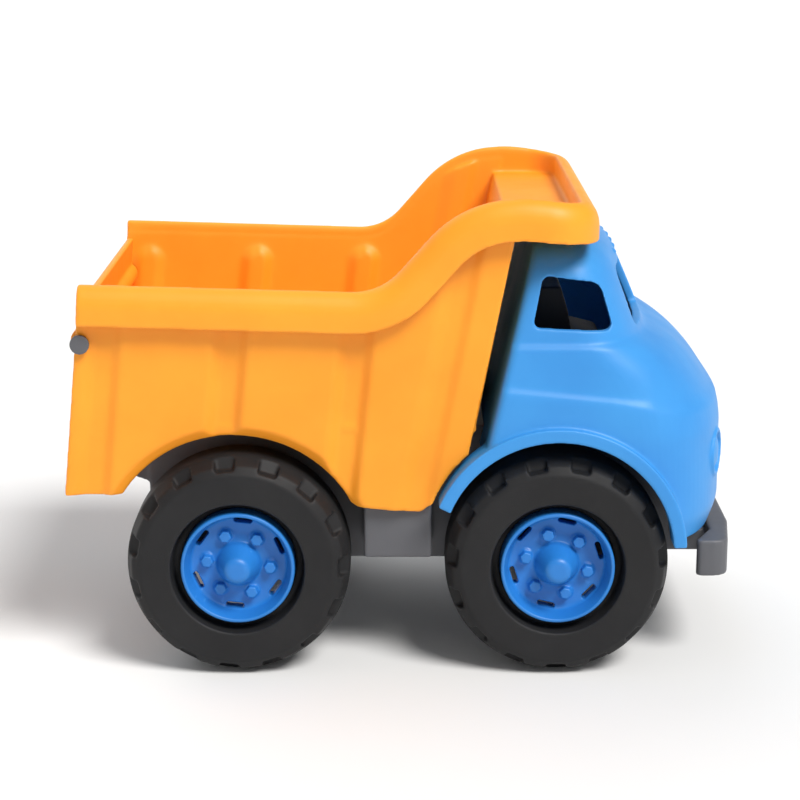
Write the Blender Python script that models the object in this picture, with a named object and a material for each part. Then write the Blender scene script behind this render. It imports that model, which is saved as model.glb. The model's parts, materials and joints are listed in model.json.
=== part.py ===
"""Toy dump truck, moulded in plastic: a tipping bed with a tailgate, a cab, a frame and four rolling wheels.

Metres, +Z up, the truck faces +X and stands on z = 0. X = 0 is the middle of the truck's length.
"""

import math

import bmesh
import bpy
from mathutils import Matrix, Vector

# ---- Wheels and axles -------------------------------------------------------------------
TYRE_RADIUS = 0.0445
TYRE_WIDTH = 0.036
TYRE_WALL = 0.005
TYRE_HOLE_RADIUS = 0.0257
TYRE_COLLAR_RADIUS = 0.0228
TYRE_COLLAR_DEPTH = 0.0030
TYRE_SIDE_WALL = 0.0045
TYRE_SHOULDER = 0.0065
TYRE_EDGE_SLOPE = 0.0022
TREAD_POCKETS = 15
TREAD_LAND_HALF_ANGLE = math.radians(6.0)
TREAD_POCKET_HALF_ANGLE = math.radians(4.5)
TREAD_POCKET_DEPTH = 0.0026
HUB_GAP = 0.0003
HUB_LIP = 0.0016
HUB_FACE_LIFT = 0.0012
HUB_FLANGE = 0.0025
HUB_FLANGE_LAP = 0.0006
HUB_CONE_RADIUS = 0.0092
HUB_CONE_REACH = 0.0025
HUB_SLEEVE_RADIUS = 0.0080
HUB_SLEEVE_GAP = 0.0006
HUB_BORE_Y = 0.66 * TYRE_WIDTH / 2
HUB_COLUMNS = 24
LUG_NUTS = 6
LUG_CIRCLE = 0.0127
LUG_RADIUS = 0.0026
LUG_HEIGHT = 0.0030
SLOT_CIRCLE = 0.0186
SLOT_LENGTH = 0.0080
SLOT_WIDTH = 0.0022
AXLE_RADIUS = 0.0050
AXLE_BORE_GAP = 0.0004
FRONT_AXLE_X = 0.0605
REAR_AXLE_X = -0.0655
AXLE_Z = TYRE_RADIUS * math.cos(TREAD_LAND_HALF_ANGLE)

# ---- Bed ---------------------------------------------------------------------------------
BED_REAR_X = -0.1335
BED_REAR_Z = 0.0720
BED_REAR_LEAN = math.radians(5.7)
BED_HALF_WIDTH = 0.0805
BED_DRAFT = math.radians(3.0)
BED_WALL = 0.0030
BED_WHEEL_ROOM = 0.01224
BED_FLOOR_Z = AXLE_Z + TYRE_RADIUS + BED_WHEEL_ROOM
BED_RIDE = 0.0090
BED_SKIRT_Z = 0.0645
SKIRT_END_RISE = 0.0040
SKIRT_TURN = 0.0025
BED_FRONT_X = 0.0259
BED_FRONT_Z = 0.0889
BED_FRONT_LEAN = math.radians(10.8)
BED_ARCH_ROOM = 0.0075
BED_ARCH_RADIUS = TYRE_RADIUS + BED_ARCH_ROOM
BED_ARCH_SHIFT = -0.0015
RIM_TOP_X = 0.0470
BED_DEPTH = 0.0899
RIM_TOP_Z = BED_FLOOR_Z + BED_DEPTH
RIM_STEP = 0.0368
RIM_LOW_X = -0.0092
RIM_LOW_Z = RIM_TOP_Z - RIM_STEP
RIM_REAR_Z = RIM_LOW_Z + 0.0033
RIM_RISE_X = 0.0215
RIM_RISE_Z = RIM_TOP_Z - 0.0021
RIM_NOSE_X = 0.0688
RIM_NOSE_Z = RIM_TOP_Z - 0.0030
RIM_HEIGHT = 0.0155
RIM_OVERHANG = 0.0050
RIM_SKIN = 0.0024
RIM_SHOULDER = 0.0055
RIM_FOOT = 0.0115
RIM_WALL_LAP = 0.0045
RIM_CORNER = 0.0140
CANOPY_DROP = 0.0090
GROOVE_X = (-0.1160, -0.0670, -0.0185)
GROOVE_Z = 0.1370
GROOVE_LEAN = math.radians(6.0)
GROOVE_HALF_WIDTH = 0.0080
GROOVE_FLOOR_HALF = 0.0032
GROOVE_DEPTH = 0.0020

# ---- Tailgate ----------------------------------------------------------------------------
GATE_WALL = 0.0030
GATE_RIM_DROP = 0.0074
GATE_TOP_Z = RIM_REAR_Z - GATE_RIM_DROP
GATE_FLOOR_LAP = 0.0045
GATE_BOTTOM_Z = BED_FLOOR_Z - GATE_FLOOR_LAP
GATE_HINGE_DROP = 0.0160
GATE_HINGE_Z = GATE_TOP_Z - GATE_HINGE_DROP
GATE_GAP = 0.0010
GATE_SIDE_GAP = 0.0008
GATE_KNUCKLE = 0.0046
GATE_PIN_RADIUS = 0.0024
GATE_PIN_DEPTH = 0.0090
GATE_PIN_HEAD = 0.0038
GATE_PIN_HEAD_GAP = 0.0006
GATE_PIN_HEAD_END = 0.0024
GATE_FLOOR_GAP = 0.0010

# ---- Cab ---------------------------------------------------------------------------------
CAB_WALL = 0.0030
CAB_REAR_X = 0.0318
CAB_REAR_Z = 0.0900
CAB_REAR_LEAN = math.radians(12.9)
CAB_BOTTOM_Z = 0.0530
CAB_BELT_RISE = 0.0402
CAB_BELT_Z = BED_FLOOR_Z - BED_RIDE + CAB_BELT_RISE
CAB_ROOF_GAP = 0.0055
CAB_TOP_Z = RIM_NOSE_Z - CANOPY_DROP - BED_WALL - CAB_ROOF_GAP
CAB_REAR_ROUND = 0.0030
NOSE_POWER = 2.6
SCREEN_BOTTOM_HALF = 0.0520
SCREEN_TOP_HALF = 0.0480
SCREEN_POST = 0.0080
SCREEN_SILL = 0.0040
SCREEN_HEADER = 0.0124
SCREEN_CUT_X = 0.0768
FENDER_X = FRONT_AXLE_X - 0.0002
FENDER_Z = AXLE_Z + 0.0060
FENDER_ROOM = 0.0010
FENDER_RADIUS = TYRE_RADIUS + FENDER_ROOM
FENDER_BAND = 0.0053
FENDER_PROUD = 0.0002
FENDER_DEPTH = 0.0140
FENDER_REAR_ANGLE = math.radians(158.0)
BED_FENDER_GAP = 0.0014

# ---- Frame -------------------------------------------------------------------------------
FRAME_HALF_WIDTH = 0.0410
WHEEL_GAP = 0.0060
TRACK = 2 * (FRAME_HALF_WIDTH + WHEEL_GAP) + TYRE_WIDTH
FENDER_HALF_WIDTH = (TRACK + TYRE_WIDTH) / 2 + FENDER_PROUD
FRAME_WALL = 0.0030
FRAME_REAR_X = -0.1040
FRAME_FRONT_X = 0.1120
FRAME_TOP_Z = BED_FLOOR_Z - BED_RIDE
FRAME_BOTTOM_Z = 0.0360
FRAME_CHAMFER = 0.0160
SIDE_BOX_GAP = 0.0050
SIDE_BOX_REAR_X = REAR_AXLE_X + TYRE_RADIUS + SIDE_BOX_GAP
SIDE_BOX_FRONT_X = FRONT_AXLE_X - TYRE_RADIUS - SIDE_BOX_GAP
SIDE_BOX_BOTTOM_Z = 0.0450
SIDE_BOX_TOP_Z = 0.0840
SIDE_BOX_BED_GAP = 0.0014
BUMPER_FRONT_X = 0.1335
BUMPER_DEPTH = 0.0095
BUMPER_HALF_WIDTH = 0.0660
BUMPER_BOTTOM_Z = 0.0360
BUMPER_TOP_Z = 0.0510
BUMPER_SWEEP = 0.0040
BUMPER_END = 0.0080
HINGE_HEAD = 0.0020
RAIL_INSET = 0.0100
RAIL_REAR_X = -0.0980
RAIL_FRONT_X = 0.0139
HINGE_X = -0.1180
HINGE_DROP = 0.0210
HINGE_Z = BED_FLOOR_Z - HINGE_DROP
HINGE_PIN_RADIUS = 0.0030
HINGE_EYE = 0.0068
LUG_EAR_WIDTH = 0.0060
RUNNING_GAP = 0.0004
GAP = 0.0003

# ---- Cab screws --------------------------------------------------------------------------
SCREW_RADIUS = 0.0018
SCREW_HEAD_RADIUS = 0.0040
SCREW_HEAD = 0.0025
SCREW_LENGTH = 0.0150
BOSS_RADIUS = 0.0045
BOSS_HALF_SPACING = 0.0260
FRONT_BOSS_X = 0.1030
REAR_BOSS_SETBACK = 0.0042
REAR_BOSS_HEIGHT = 0.0185

# ---- Seat --------------------------------------------------------------------------------
SEAT_HALF_WIDTH = 0.0450
SEAT_WALL = 0.0025
SEAT_HEIGHT = 0.0580
SEAT_BOSS_GAP = 0.0030
SEAT_BENCH_DROP = 0.0330
SEAT_BACK_X = 0.0625
SEAT_FRONT_X = 0.0870
SEAT_TOP_Z = FRAME_TOP_Z + SEAT_HEIGHT


# ---- Mesh helpers ------------------------------------------------------------------------
def solid(name, points, faces):
    """A mesh object from points and faces, with doubled points merged and its faces turned outward."""
    mesh = bpy.data.meshes.new(name)
    mesh.from_pydata([tuple(point) for point in points], [], faces)
    work = bmesh.new()
    work.from_mesh(mesh)
    bmesh.ops.remove_doubles(work, verts=work.verts, dist=1e-6)
    bmesh.ops.recalc_face_normals(work, faces=work.faces)
    work.to_mesh(mesh)
    work.free()
    result = bpy.data.objects.new(name, mesh)
    bpy.context.scene.collection.objects.link(result)
    return result


def loft(name, rings, capped=(True, True)):
    """A skin over rings that have equally many points, with a face on each capped end."""
    count = len(rings[0])
    points = [point for ring in rings for point in ring]
    faces = []
    for level in range(len(rings) - 1):
        low = level * count
        for step in range(count):
            after = (step + 1) % count
            faces.append((low + step, low + after, low + count + after, low + count + step))
    if capped[0]:
        faces.append(tuple(range(count)))
    if capped[1]:
        faces.append(tuple(range(len(points) - count, len(points))))
    return solid(name, points, faces)


def side_prism(name, outline, low_y, high_y):
    """An outline in the XZ plane, extruded along Y."""
    return loft(name, [[(x, y, z) for x, z in outline] for y in (low_y, high_y)])


def plan_prism(name, outline, low_z, high_z):
    """An outline in the XY plane, extruded along Z."""
    return loft(name, [[(x, y, z) for x, y in outline] for z in (low_z, high_z)])


def front_prism(name, outline, low_x, high_x):
    """An outline in the YZ plane, extruded along X."""
    return loft(name, [[(x, y, z) for y, z in outline] for x in (low_x, high_x)])


def block(name, low, high):
    corners = [(low[0], low[1]), (high[0], low[1]), (high[0], high[1]), (low[0], high[1])]
    return plan_prism(name, corners, low[2], high[2])


def arc(centre, radius, start, stop, steps):
    """Points on an arc, its angles in radians from +u towards +v."""
    angles = [start + (stop - start) * step / steps for step in range(steps + 1)]
    return [(centre[0] + radius * math.cos(a), centre[1] + radius * math.sin(a)) for a in angles]


def rounded(corners, steps=5):
    """A polyline or an outline whose corners, given as (u, v, radius), are rounded by arcs."""
    result = []
    for index, (u, v, radius) in enumerate(corners):
        here = Vector((u, v))
        if not radius:
            result.append((u, v))
            continue
        back = (Vector(corners[index - 1][:2]) - here).normalized()
        ahead = (Vector(corners[(index + 1) % len(corners)][:2]) - here).normalized()
        half = back.angle(ahead) / 2
        centre = here + (back + ahead).normalized() * radius / math.sin(half)
        first = here + back * radius / math.tan(half) - centre
        last = here + ahead * radius / math.tan(half) - centre
        turn = first.angle_signed(last)
        for step in range(steps + 1):
            point = centre + Matrix.Rotation(-turn * step / steps, 2) @ first
            result.append((point.x, point.y))
    return result


def cylinder_y(name, x, z, radius, low_y, high_y, columns=24):
    ring = arc((x, z), radius, 0.0, math.tau * (columns - 1) / columns, columns - 1)
    return side_prism(name, ring, low_y, high_y)


def cylinder_z(name, x, y, radius, low_z, high_z, columns=16):
    ring = arc((x, y), radius, 0.0, math.tau * (columns - 1) / columns, columns - 1)
    return plan_prism(name, ring, low_z, high_z)


def turned(name, columns):
    """A body turned about Y from (angle, [(radius, y), ...]) columns. Each section is a closed loop."""
    rings = [
        [(r * math.cos(angle), y, r * math.sin(angle)) for r, y in section]
        for angle, section in columns
    ]
    return loft(name, [*rings, rings[0]], capped=(False, False))


def evenly(section, count):
    return [(math.tau * step / count, section) for step in range(count)]


def baked(target):
    """Turns the object's modifiers into its mesh."""
    graph = bpy.context.evaluated_depsgraph_get()
    mesh = bpy.data.meshes.new_from_object(target.evaluated_get(graph))
    target.modifiers.clear()
    target.data = mesh
    return target


def combined(target, operation, *tools):
    """Cuts or joins each tool with the target by an exact Boolean, and removes the tool."""
    for tool in tools:
        modifier = target.modifiers.new("Boolean", "BOOLEAN")
        modifier.operation = operation
        modifier.object = tool
        baked(target)
        bpy.data.objects.remove(tool)
    return target


def thickened(target, wall):
    """Gives an open skin a wall of even thickness on its inner side."""
    modifier = target.modifiers.new("Solidify", "SOLIDIFY")
    modifier.thickness = wall
    modifier.offset = -1.0
    modifier.use_even_offset = True
    return baked(target)


# ---- Materials ---------------------------------------------------------------------------
def plastic(name, colour, roughness):
    material = bpy.data.materials.new(name)
    material.use_nodes = True
    shader = material.node_tree.nodes["Principled BSDF"]
    shader.inputs["Base Color"].default_value = (*colour, 1.0)
    shader.inputs["Roughness"].default_value = roughness
    shader.inputs["Metallic"].default_value = 0.0
    return material


def finished(part, material, anchor=None, sharp=math.radians(35)):
    """Gives a part its material and smooth shading, and hangs it on its joint's empty."""
    part.data.materials.clear()
    part.data.materials.append(material)
    part.data.shade_smooth()
    part.data.set_sharp_from_angle(angle=sharp)
    if anchor:
        part.parent = anchor
        part.matrix_parent_inverse = anchor.matrix_world.inverted()
    return part


def joint_empty(name, place):
    empty = bpy.data.objects.new(name, None)
    empty.empty_display_size = 0.01
    empty.location = place
    bpy.context.scene.collection.objects.link(empty)
    bpy.context.view_layer.update()
    return empty


# ---- Wheels ------------------------------------------------------------------------------
def tyre_section(sunk):
    """The tyre's section as (radius, y), with y outward. Its shoulders are sunk where a tread pocket is."""
    half = TYRE_WIDTH / 2
    crown = TYRE_RADIUS
    inside = crown - TYRE_WALL
    drop = TREAD_POCKET_DEPTH if sunk else 0.0
    recess = half / 2
    collar = TYRE_HOLE_RADIUS + 0.0023
    return [
        (TYRE_COLLAR_RADIUS, recess),
        (TYRE_HOLE_RADIUS, recess),
        (TYRE_HOLE_RADIUS + 0.0010, half),
        (crown - TYRE_SHOULDER, half),
        (crown - 0.0033 - drop * 0.7, half - 0.0018 - drop * 0.8),
        (crown - 0.0006 - drop, half - 0.0075 - drop * 0.5),
        (crown, half - 0.0125),
        (crown, 0.0125 - half),
        (crown - TYRE_EDGE_SLOPE - drop, 0.0032 - half + drop * 0.7),
        (crown - TYRE_SHOULDER, -half),
        (inside - TYRE_EDGE_SLOPE, -half),
        (inside - TYRE_EDGE_SLOPE, half - TYRE_SIDE_WALL),
        (collar, half - TYRE_SIDE_WALL),
        (collar, recess - TYRE_COLLAR_DEPTH),
        (TYRE_COLLAR_RADIUS, recess - TYRE_COLLAR_DEPTH),
    ]


def make_tyre_mesh():
    """Each tread pocket lies between two lands, and a land faces down so that the tyre rests on it."""
    pitch = math.tau / TREAD_POCKETS
    columns = []
    for step in range(TREAD_POCKETS):
        land = -math.pi / 2 + pitch * step
        pocket = land + pitch / 2
        columns.append((land - TREAD_LAND_HALF_ANGLE, tyre_section(False)))
        columns.append((land + TREAD_LAND_HALF_ANGLE, tyre_section(False)))
        columns.append((pocket - TREAD_POCKET_HALF_ANGLE, tyre_section(True)))
        columns.append((pocket + TREAD_POCKET_HALF_ANGLE, tyre_section(True)))
    return turned("tyre_shape", columns)


def hub_section():
    """The hub's section from the tip of its cone to its blind bore, as (radius, y)."""
    rim = TYRE_COLLAR_RADIUS - HUB_GAP
    half = TYRE_WIDTH / 2
    recess = half / 2
    back = recess - TYRE_COLLAR_DEPTH - HUB_GAP
    flange = TYRE_HOLE_RADIUS + HUB_FLANGE_LAP
    sleeve_end = FRAME_HALF_WIDTH + HUB_SLEEVE_GAP - TRACK / 2
    bore = AXLE_RADIUS + GAP
    return [
        (0.0, half + HUB_CONE_REACH),
        (HUB_CONE_RADIUS * 0.65, half + HUB_CONE_REACH - 0.0020),
        (HUB_CONE_RADIUS, recess),
        (rim - HUB_LIP, recess + HUB_FACE_LIFT),
        (rim - HUB_LIP, half - HUB_LIP),
        (rim, half - HUB_LIP),
        (rim, back),
        (flange, back),
        (flange, back - HUB_FLANGE),
        (HUB_SLEEVE_RADIUS, back - HUB_FLANGE),
        (HUB_SLEEVE_RADIUS, sleeve_end),
        (bore, sleeve_end),
        (bore, HUB_BORE_Y),
        (0.0, HUB_BORE_Y),
    ]


def make_hub_mesh():
    half = TYRE_WIDTH / 2
    face = half / 2
    hub = turned("hub_shape", evenly(hub_section(), HUB_COLUMNS))
    for step in range(LUG_NUTS):
        angle = math.tau * step / LUG_NUTS
        nut = cylinder_y("nut", LUG_CIRCLE, 0.0, LUG_RADIUS, face - 0.001, face + LUG_HEIGHT, 6)
        slot = block(
            "slot",
            (SLOT_CIRCLE - SLOT_WIDTH / 2, face - 0.008, -SLOT_LENGTH / 2),
            (SLOT_CIRCLE + SLOT_WIDTH / 2, face + 0.004, SLOT_LENGTH / 2),
        )
        nut.data.transform(Matrix.Rotation(-angle, 4, "Y"))
        slot.data.transform(Matrix.Rotation(-angle - math.pi / LUG_NUTS, 4, "Y"))
        combined(hub, "UNION", nut)
        combined(hub, "DIFFERENCE", slot)
    return hub


def make_axle(name, x):
    reach = TRACK / 2 + HUB_BORE_Y - GAP
    axle = cylinder_y(name, 0.0, 0.0, AXLE_RADIUS, -reach, reach)
    axle.location = (x, 0.0, AXLE_Z)
    return axle


def make_wheels(dark, blue, axle_grey):
    tyre_shape = make_tyre_mesh()
    hub_shape = make_hub_mesh()
    for end, x in (("front", FRONT_AXLE_X), ("rear", REAR_AXLE_X)):
        anchor = joint_empty(f"{end}_axle_line", (x, 0.0, AXLE_Z))
        axle = make_axle(f"{end}_axle", x)
        bpy.context.view_layer.update()
        finished(axle, axle_grey, anchor)
        for side, turn, y in (("left", 0.0, TRACK / 2), ("right", math.pi, -TRACK / 2)):
            for kind, shape, material in (("tyre", tyre_shape, dark), ("hub", hub_shape, blue)):
                piece = bpy.data.objects.new(f"{kind}_{end}_{side}", shape.data)
                bpy.context.scene.collection.objects.link(piece)
                piece.location = (x, y, AXLE_Z)
                piece.rotation_euler = (0.0, 0.0, turn)
                bpy.context.view_layer.update()
                finished(piece, material, anchor)
    bpy.data.objects.remove(tyre_shape)
    bpy.data.objects.remove(hub_shape)


# ---- Bed ---------------------------------------------------------------------------------
def bed_half_width(z):
    """Half the width over the bed's side panels at height z."""
    return BED_HALF_WIDTH + (z - RIM_TOP_Z) * math.tan(BED_DRAFT)


def bed_front_x(z):
    return BED_FRONT_X + (z - BED_FRONT_Z) * math.tan(BED_FRONT_LEAN)


def bed_rear_x(z):
    return BED_REAR_X + (z - BED_REAR_Z) * math.tan(BED_REAR_LEAN)


def rim_path():
    """The rim's top line on one side in XZ, from the rear to the front of the canopy."""
    return rounded(
        [
            (bed_rear_x(RIM_REAR_Z), RIM_REAR_Z, 0.0),
            (RIM_LOW_X, RIM_LOW_Z, 0.0236),
            (RIM_RISE_X, RIM_RISE_Z, 0.0440),
            (RIM_TOP_X, RIM_TOP_Z, 0.0600),
            (RIM_NOSE_X - RIM_CORNER, RIM_NOSE_Z + RIM_CORNER * 0.138, 0.0),
        ]
    )


def rim_section():
    """The rolled rim across its path: (outward, up) from the rim's top line."""
    wall_out = BED_WALL / 2
    out = wall_out + RIM_OVERHANG
    return [
        (out - RIM_SKIN, -RIM_HEIGHT),
        (out, -RIM_HEIGHT),
        (out, -RIM_SHOULDER),
        (out - 0.0012, -0.4 * RIM_SHOULDER),
        (out - 0.0040, -0.0002),
        (-0.0006, 0.0),
        (-wall_out, -0.0016),
        (-wall_out, -RIM_FOOT),
        (wall_out, -RIM_FOOT),
        (wall_out, -0.0034),
        (out - RIM_SKIN - 0.0012, -0.0036),
        (out - RIM_SKIN, -0.0058),
    ]


def rim_line():
    """The rim's whole top line round the bed, as 3-D points from the right rear to the left rear."""
    side = [Vector((x, BED_WALL / 2 - bed_half_width(z), z)) for x, z in rim_path()]
    bend = RIM_CORNER
    inset = side[-1].y
    corner = [
        Vector((side[-1].x + bend * math.sin(a), inset + bend * (1 - math.cos(a)), side[-1].z))
        for a in (math.radians(15.0 * step) for step in range(1, 7))
    ]
    fall = side[-1].z - RIM_NOSE_Z
    for point in corner:
        point.z -= fall * (point.x - side[-1].x) / bend
    right = side + corner
    left = [Vector((p.x, -p.y, p.z)) for p in reversed(right)]
    return right + left


def make_rim():
    """Sweeps the rim's section along its line, square to it and level across."""
    line = rim_line()
    rings = []
    for index, point in enumerate(line):
        back = line[max(index - 1, 0)]
        ahead = line[min(index + 1, len(line) - 1)]
        along = ((point - back).normalized() + (ahead - point).normalized()).normalized()
        out = Vector((along.y, -along.x, 0.0)).normalized()
        up = out.cross(along).normalized()
        rings.append([point + out * u + up * v for u, v in rim_section()])
    return loft("rim", rings)


def relief_lines():
    """Lines up the side wall as (x at GROOVE_Z, tangent of its lean, depth), from rear to front."""
    lean = math.tan(GROOVE_LEAN)
    lines = [(BED_REAR_X - 0.02, lean, 0.0)]
    for x in GROOVE_X:
        lines.append((x - GROOVE_HALF_WIDTH, lean, 0.0))
        lines.append((x - GROOVE_FLOOR_HALF, lean, GROOVE_DEPTH))
        lines.append((x + GROOVE_FLOOR_HALF, lean, GROOVE_DEPTH))
        lines.append((x + GROOVE_HALF_WIDTH, lean, 0.0))
    lines.append((bed_front_x(GROOVE_Z) + 0.03, math.tan(BED_FRONT_LEAN), 0.0))
    return lines


def wall_slab(name):
    """A grooved slab that leans with the bed's draft, larger than the wall that is cut from it."""
    rings = []
    for z in (BED_SKIRT_Z - 0.01, RIM_TOP_Z):
        face = bed_half_width(z)
        outer = [(x + (z - GROOVE_Z) * lean, depth) for x, lean, depth in relief_lines()]
        ring = [(x, depth - face, z) for x, depth in outer]
        ring += [(x, depth + BED_WALL - face, z) for x, depth in reversed(outer)]
        rings.append(ring)
    return loft(name, rings)


def wall_outline():
    """The side wall's outline in XZ: its edge runs inside the rim and over the rear wheel."""
    arch_x = REAR_AXLE_X + BED_ARCH_SHIFT
    rear_rise = BED_REAR_Z - AXLE_Z
    front_rise = BED_SKIRT_Z + SKIRT_END_RISE - AXLE_Z
    rear_angle = math.pi - math.asin(rear_rise / BED_ARCH_RADIUS)
    front_angle = math.asin(front_rise / BED_ARCH_RADIUS)
    fender = FENDER_RADIUS + FENDER_BAND + BED_FENDER_GAP
    top_angle = math.pi - math.asin((BED_FRONT_Z - FENDER_Z) / fender)
    low_angle = math.pi - math.asin((BED_SKIRT_Z + SKIRT_END_RISE - FENDER_Z) / fender)
    edge = [(x, z - RIM_WALL_LAP) for x, z in rim_path()]
    front_top = [point for point in edge if point[0] < bed_front_x(point[1]) - BED_WALL / 2]
    outline = [(BED_REAR_X, BED_REAR_Z)]
    outline += arc((arch_x, AXLE_Z), BED_ARCH_RADIUS, rear_angle, front_angle, 16)
    outline.append((outline[-1][0] + SKIRT_TURN, BED_SKIRT_Z + SKIRT_TURN))
    front = arc((FENDER_X, FENDER_Z), fender, low_angle, top_angle, 5)
    outline.append((front[0][0] - 2 * SKIRT_TURN, BED_SKIRT_Z))
    outline += front
    outline.append((bed_front_x(front_top[-1][1]), front_top[-1][1]))
    outline += reversed(front_top)
    return outline


def make_bed_wall(side):
    """One side wall. side is -1 for the right wall and 1 for the left wall."""
    wall = wall_slab("wall")
    clip = side_prism("clip", wall_outline(), -BED_HALF_WIDTH - 0.01, -BED_HALF_WIDTH / 2)
    combined(wall, "INTERSECT", clip)
    if side > 0:
        wall.data.transform(Matrix.Scale(-1.0, 4, (0.0, 1.0, 0.0)))
        wall.data.flip_normals()
    return wall


def cross_plate(name, outline):
    """A plate across the bed. Its ends lie inside both side walls, panels and grooves alike."""
    inset = (BED_WALL + GROOVE_DEPTH) / 2
    rings = []
    for side in (-1.0, 1.0):
        rings.append([(x, side * (bed_half_width(z) - inset), z) for x, z in outline])
    return loft(name, rings)


def make_floor():
    top = BED_FLOOR_Z
    rear = bed_rear_x(GATE_BOTTOM_Z) + GATE_GAP + GATE_WALL + GATE_FLOOR_GAP
    front = bed_front_x(top)
    return cross_plate(
        "floor", [(rear, top - BED_WALL), (front, top - BED_WALL), (front, top), (rear, top)]
    )


def canopy_top_z():
    return RIM_NOSE_Z - CANOPY_DROP


def make_front_wall():
    low = BED_FLOOR_Z - BED_WALL
    high = canopy_top_z() - BED_WALL / 2
    return cross_plate(
        "front_wall",
        [
            (bed_front_x(low) - BED_WALL, low),
            (bed_front_x(low), low),
            (bed_front_x(high), high),
            (bed_front_x(high) - BED_WALL, high),
        ],
    )


def make_canopy():
    """The plate over the cab. Its edge lies inside the rim."""
    top = canopy_top_z()
    rear = bed_front_x(top) - BED_WALL
    half = bed_half_width(top) - BED_WALL / 2
    outline = rounded(
        [
            (rear, -half, 0.0),
            (RIM_NOSE_X, -half, RIM_CORNER),
            (RIM_NOSE_X, half, RIM_CORNER),
            (rear, half, 0.0),
        ]
    )
    return plan_prism("canopy", outline, top - BED_WALL, top)


def make_bed_lug(side):
    """One hinge lug under the floor, just inside the frame's ear."""
    high = FRAME_HALF_WIDTH - LUG_EAR_WIDTH - RUNNING_GAP
    low = high - LUG_EAR_WIDTH
    outline = arc((HINGE_X, HINGE_Z), HINGE_EYE, math.pi, math.tau, 8)
    outline.append((HINGE_X + HINGE_EYE + 0.006, BED_FLOOR_Z - BED_WALL / 2))
    outline.append((HINGE_X - HINGE_EYE, BED_FLOOR_Z - BED_WALL / 2))
    ends = sorted((side * low, side * high))
    return side_prism("lug", outline, *ends)


def make_bed(orange, anchor):
    bed = make_bed_wall(-1)
    bed.name = "bed"
    combined(bed, "UNION", make_floor(), make_bed_wall(1), make_front_wall())
    combined(bed, "UNION", make_canopy(), make_rim())
    combined(bed, "UNION", make_bed_lug(-1), make_bed_lug(1))
    hole = HINGE_PIN_RADIUS + RUNNING_GAP
    combined(bed, "DIFFERENCE", cylinder_y("bore", HINGE_X, HINGE_Z, hole, -0.06, 0.06))
    pin_hole = GATE_PIN_RADIUS + GAP
    bore = cylinder_y("bore", gate_hinge_x(), GATE_HINGE_Z, pin_hole, -0.1, 0.1, 16)
    combined(bed, "DIFFERENCE", bore)
    return finished(bed, orange, anchor)


# ---- Tailgate ----------------------------------------------------------------------------
def gate_hinge_x():
    return bed_rear_x(GATE_HINGE_Z) + GATE_GAP + GATE_WALL / 2


def gate_half_width(z):
    """Half the gate's width between the plain panels of the side walls."""
    return bed_half_width(z) - BED_WALL - GATE_SIDE_GAP


def make_tailgate(orange, anchor):
    """A plate that hangs from a knuckle along its hinge line. Above the hinge it is narrower, to swing in
    between the ridges inside the side walls."""
    reach = gate_half_width(GATE_HINGE_Z) - GROOVE_DEPTH
    step_z = GATE_HINGE_Z - GATE_KNUCKLE
    levels = [
        (GATE_BOTTOM_Z, gate_half_width(GATE_BOTTOM_Z)),
        (step_z, gate_half_width(step_z)),
        (step_z, reach),
        (GATE_TOP_Z, reach),
    ]
    outline = [(side * half, z) for side in (-1.0, 1.0) for z, half in levels[::int(-side)]]
    rings = []
    for offset in (GATE_GAP, GATE_GAP + GATE_WALL):
        rings.append([(bed_rear_x(z) + offset, y, z) for y, z in outline])
    gate = loft("tailgate", rings)
    hinge = gate_hinge_x()
    combined(gate, "UNION", cylinder_y("knuckle", hinge, GATE_HINGE_Z, GATE_KNUCKLE, -reach, reach, 20))
    for side in (-1.0, 1.0):
        ends = sorted((side * (reach - GATE_PIN_DEPTH - GAP), side * (reach + 0.01)))
        bore = cylinder_y("bore", hinge, GATE_HINGE_Z, GATE_PIN_RADIUS + RUNNING_GAP, *ends, 16)
        combined(gate, "DIFFERENCE", bore)
    return finished(gate, orange, anchor)


def make_gate_pin(name, side, orange, anchor):
    """A headed pin, from outside the bed's wall into the gate's knuckle."""
    wall = bed_half_width(GATE_HINGE_Z)
    inner = gate_half_width(GATE_HINGE_Z) - GROOVE_DEPTH - GATE_PIN_DEPTH
    low = wall + GATE_PIN_HEAD_GAP
    high = wall + GATE_PIN_HEAD_END
    x = gate_hinge_x()
    head = cylinder_y(name, x, GATE_HINGE_Z, GATE_PIN_HEAD, low, high, 16)
    shank = cylinder_y("shank", x, GATE_HINGE_Z, GATE_PIN_RADIUS, inner, (low + high) / 2, 16)
    combined(head, "UNION", shank)
    if side < 0:
        head.data.transform(Matrix.Scale(-1.0, 4, (0.0, 1.0, 0.0)))
        head.data.flip_normals()
    return finished(head, orange, anchor)


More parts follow.
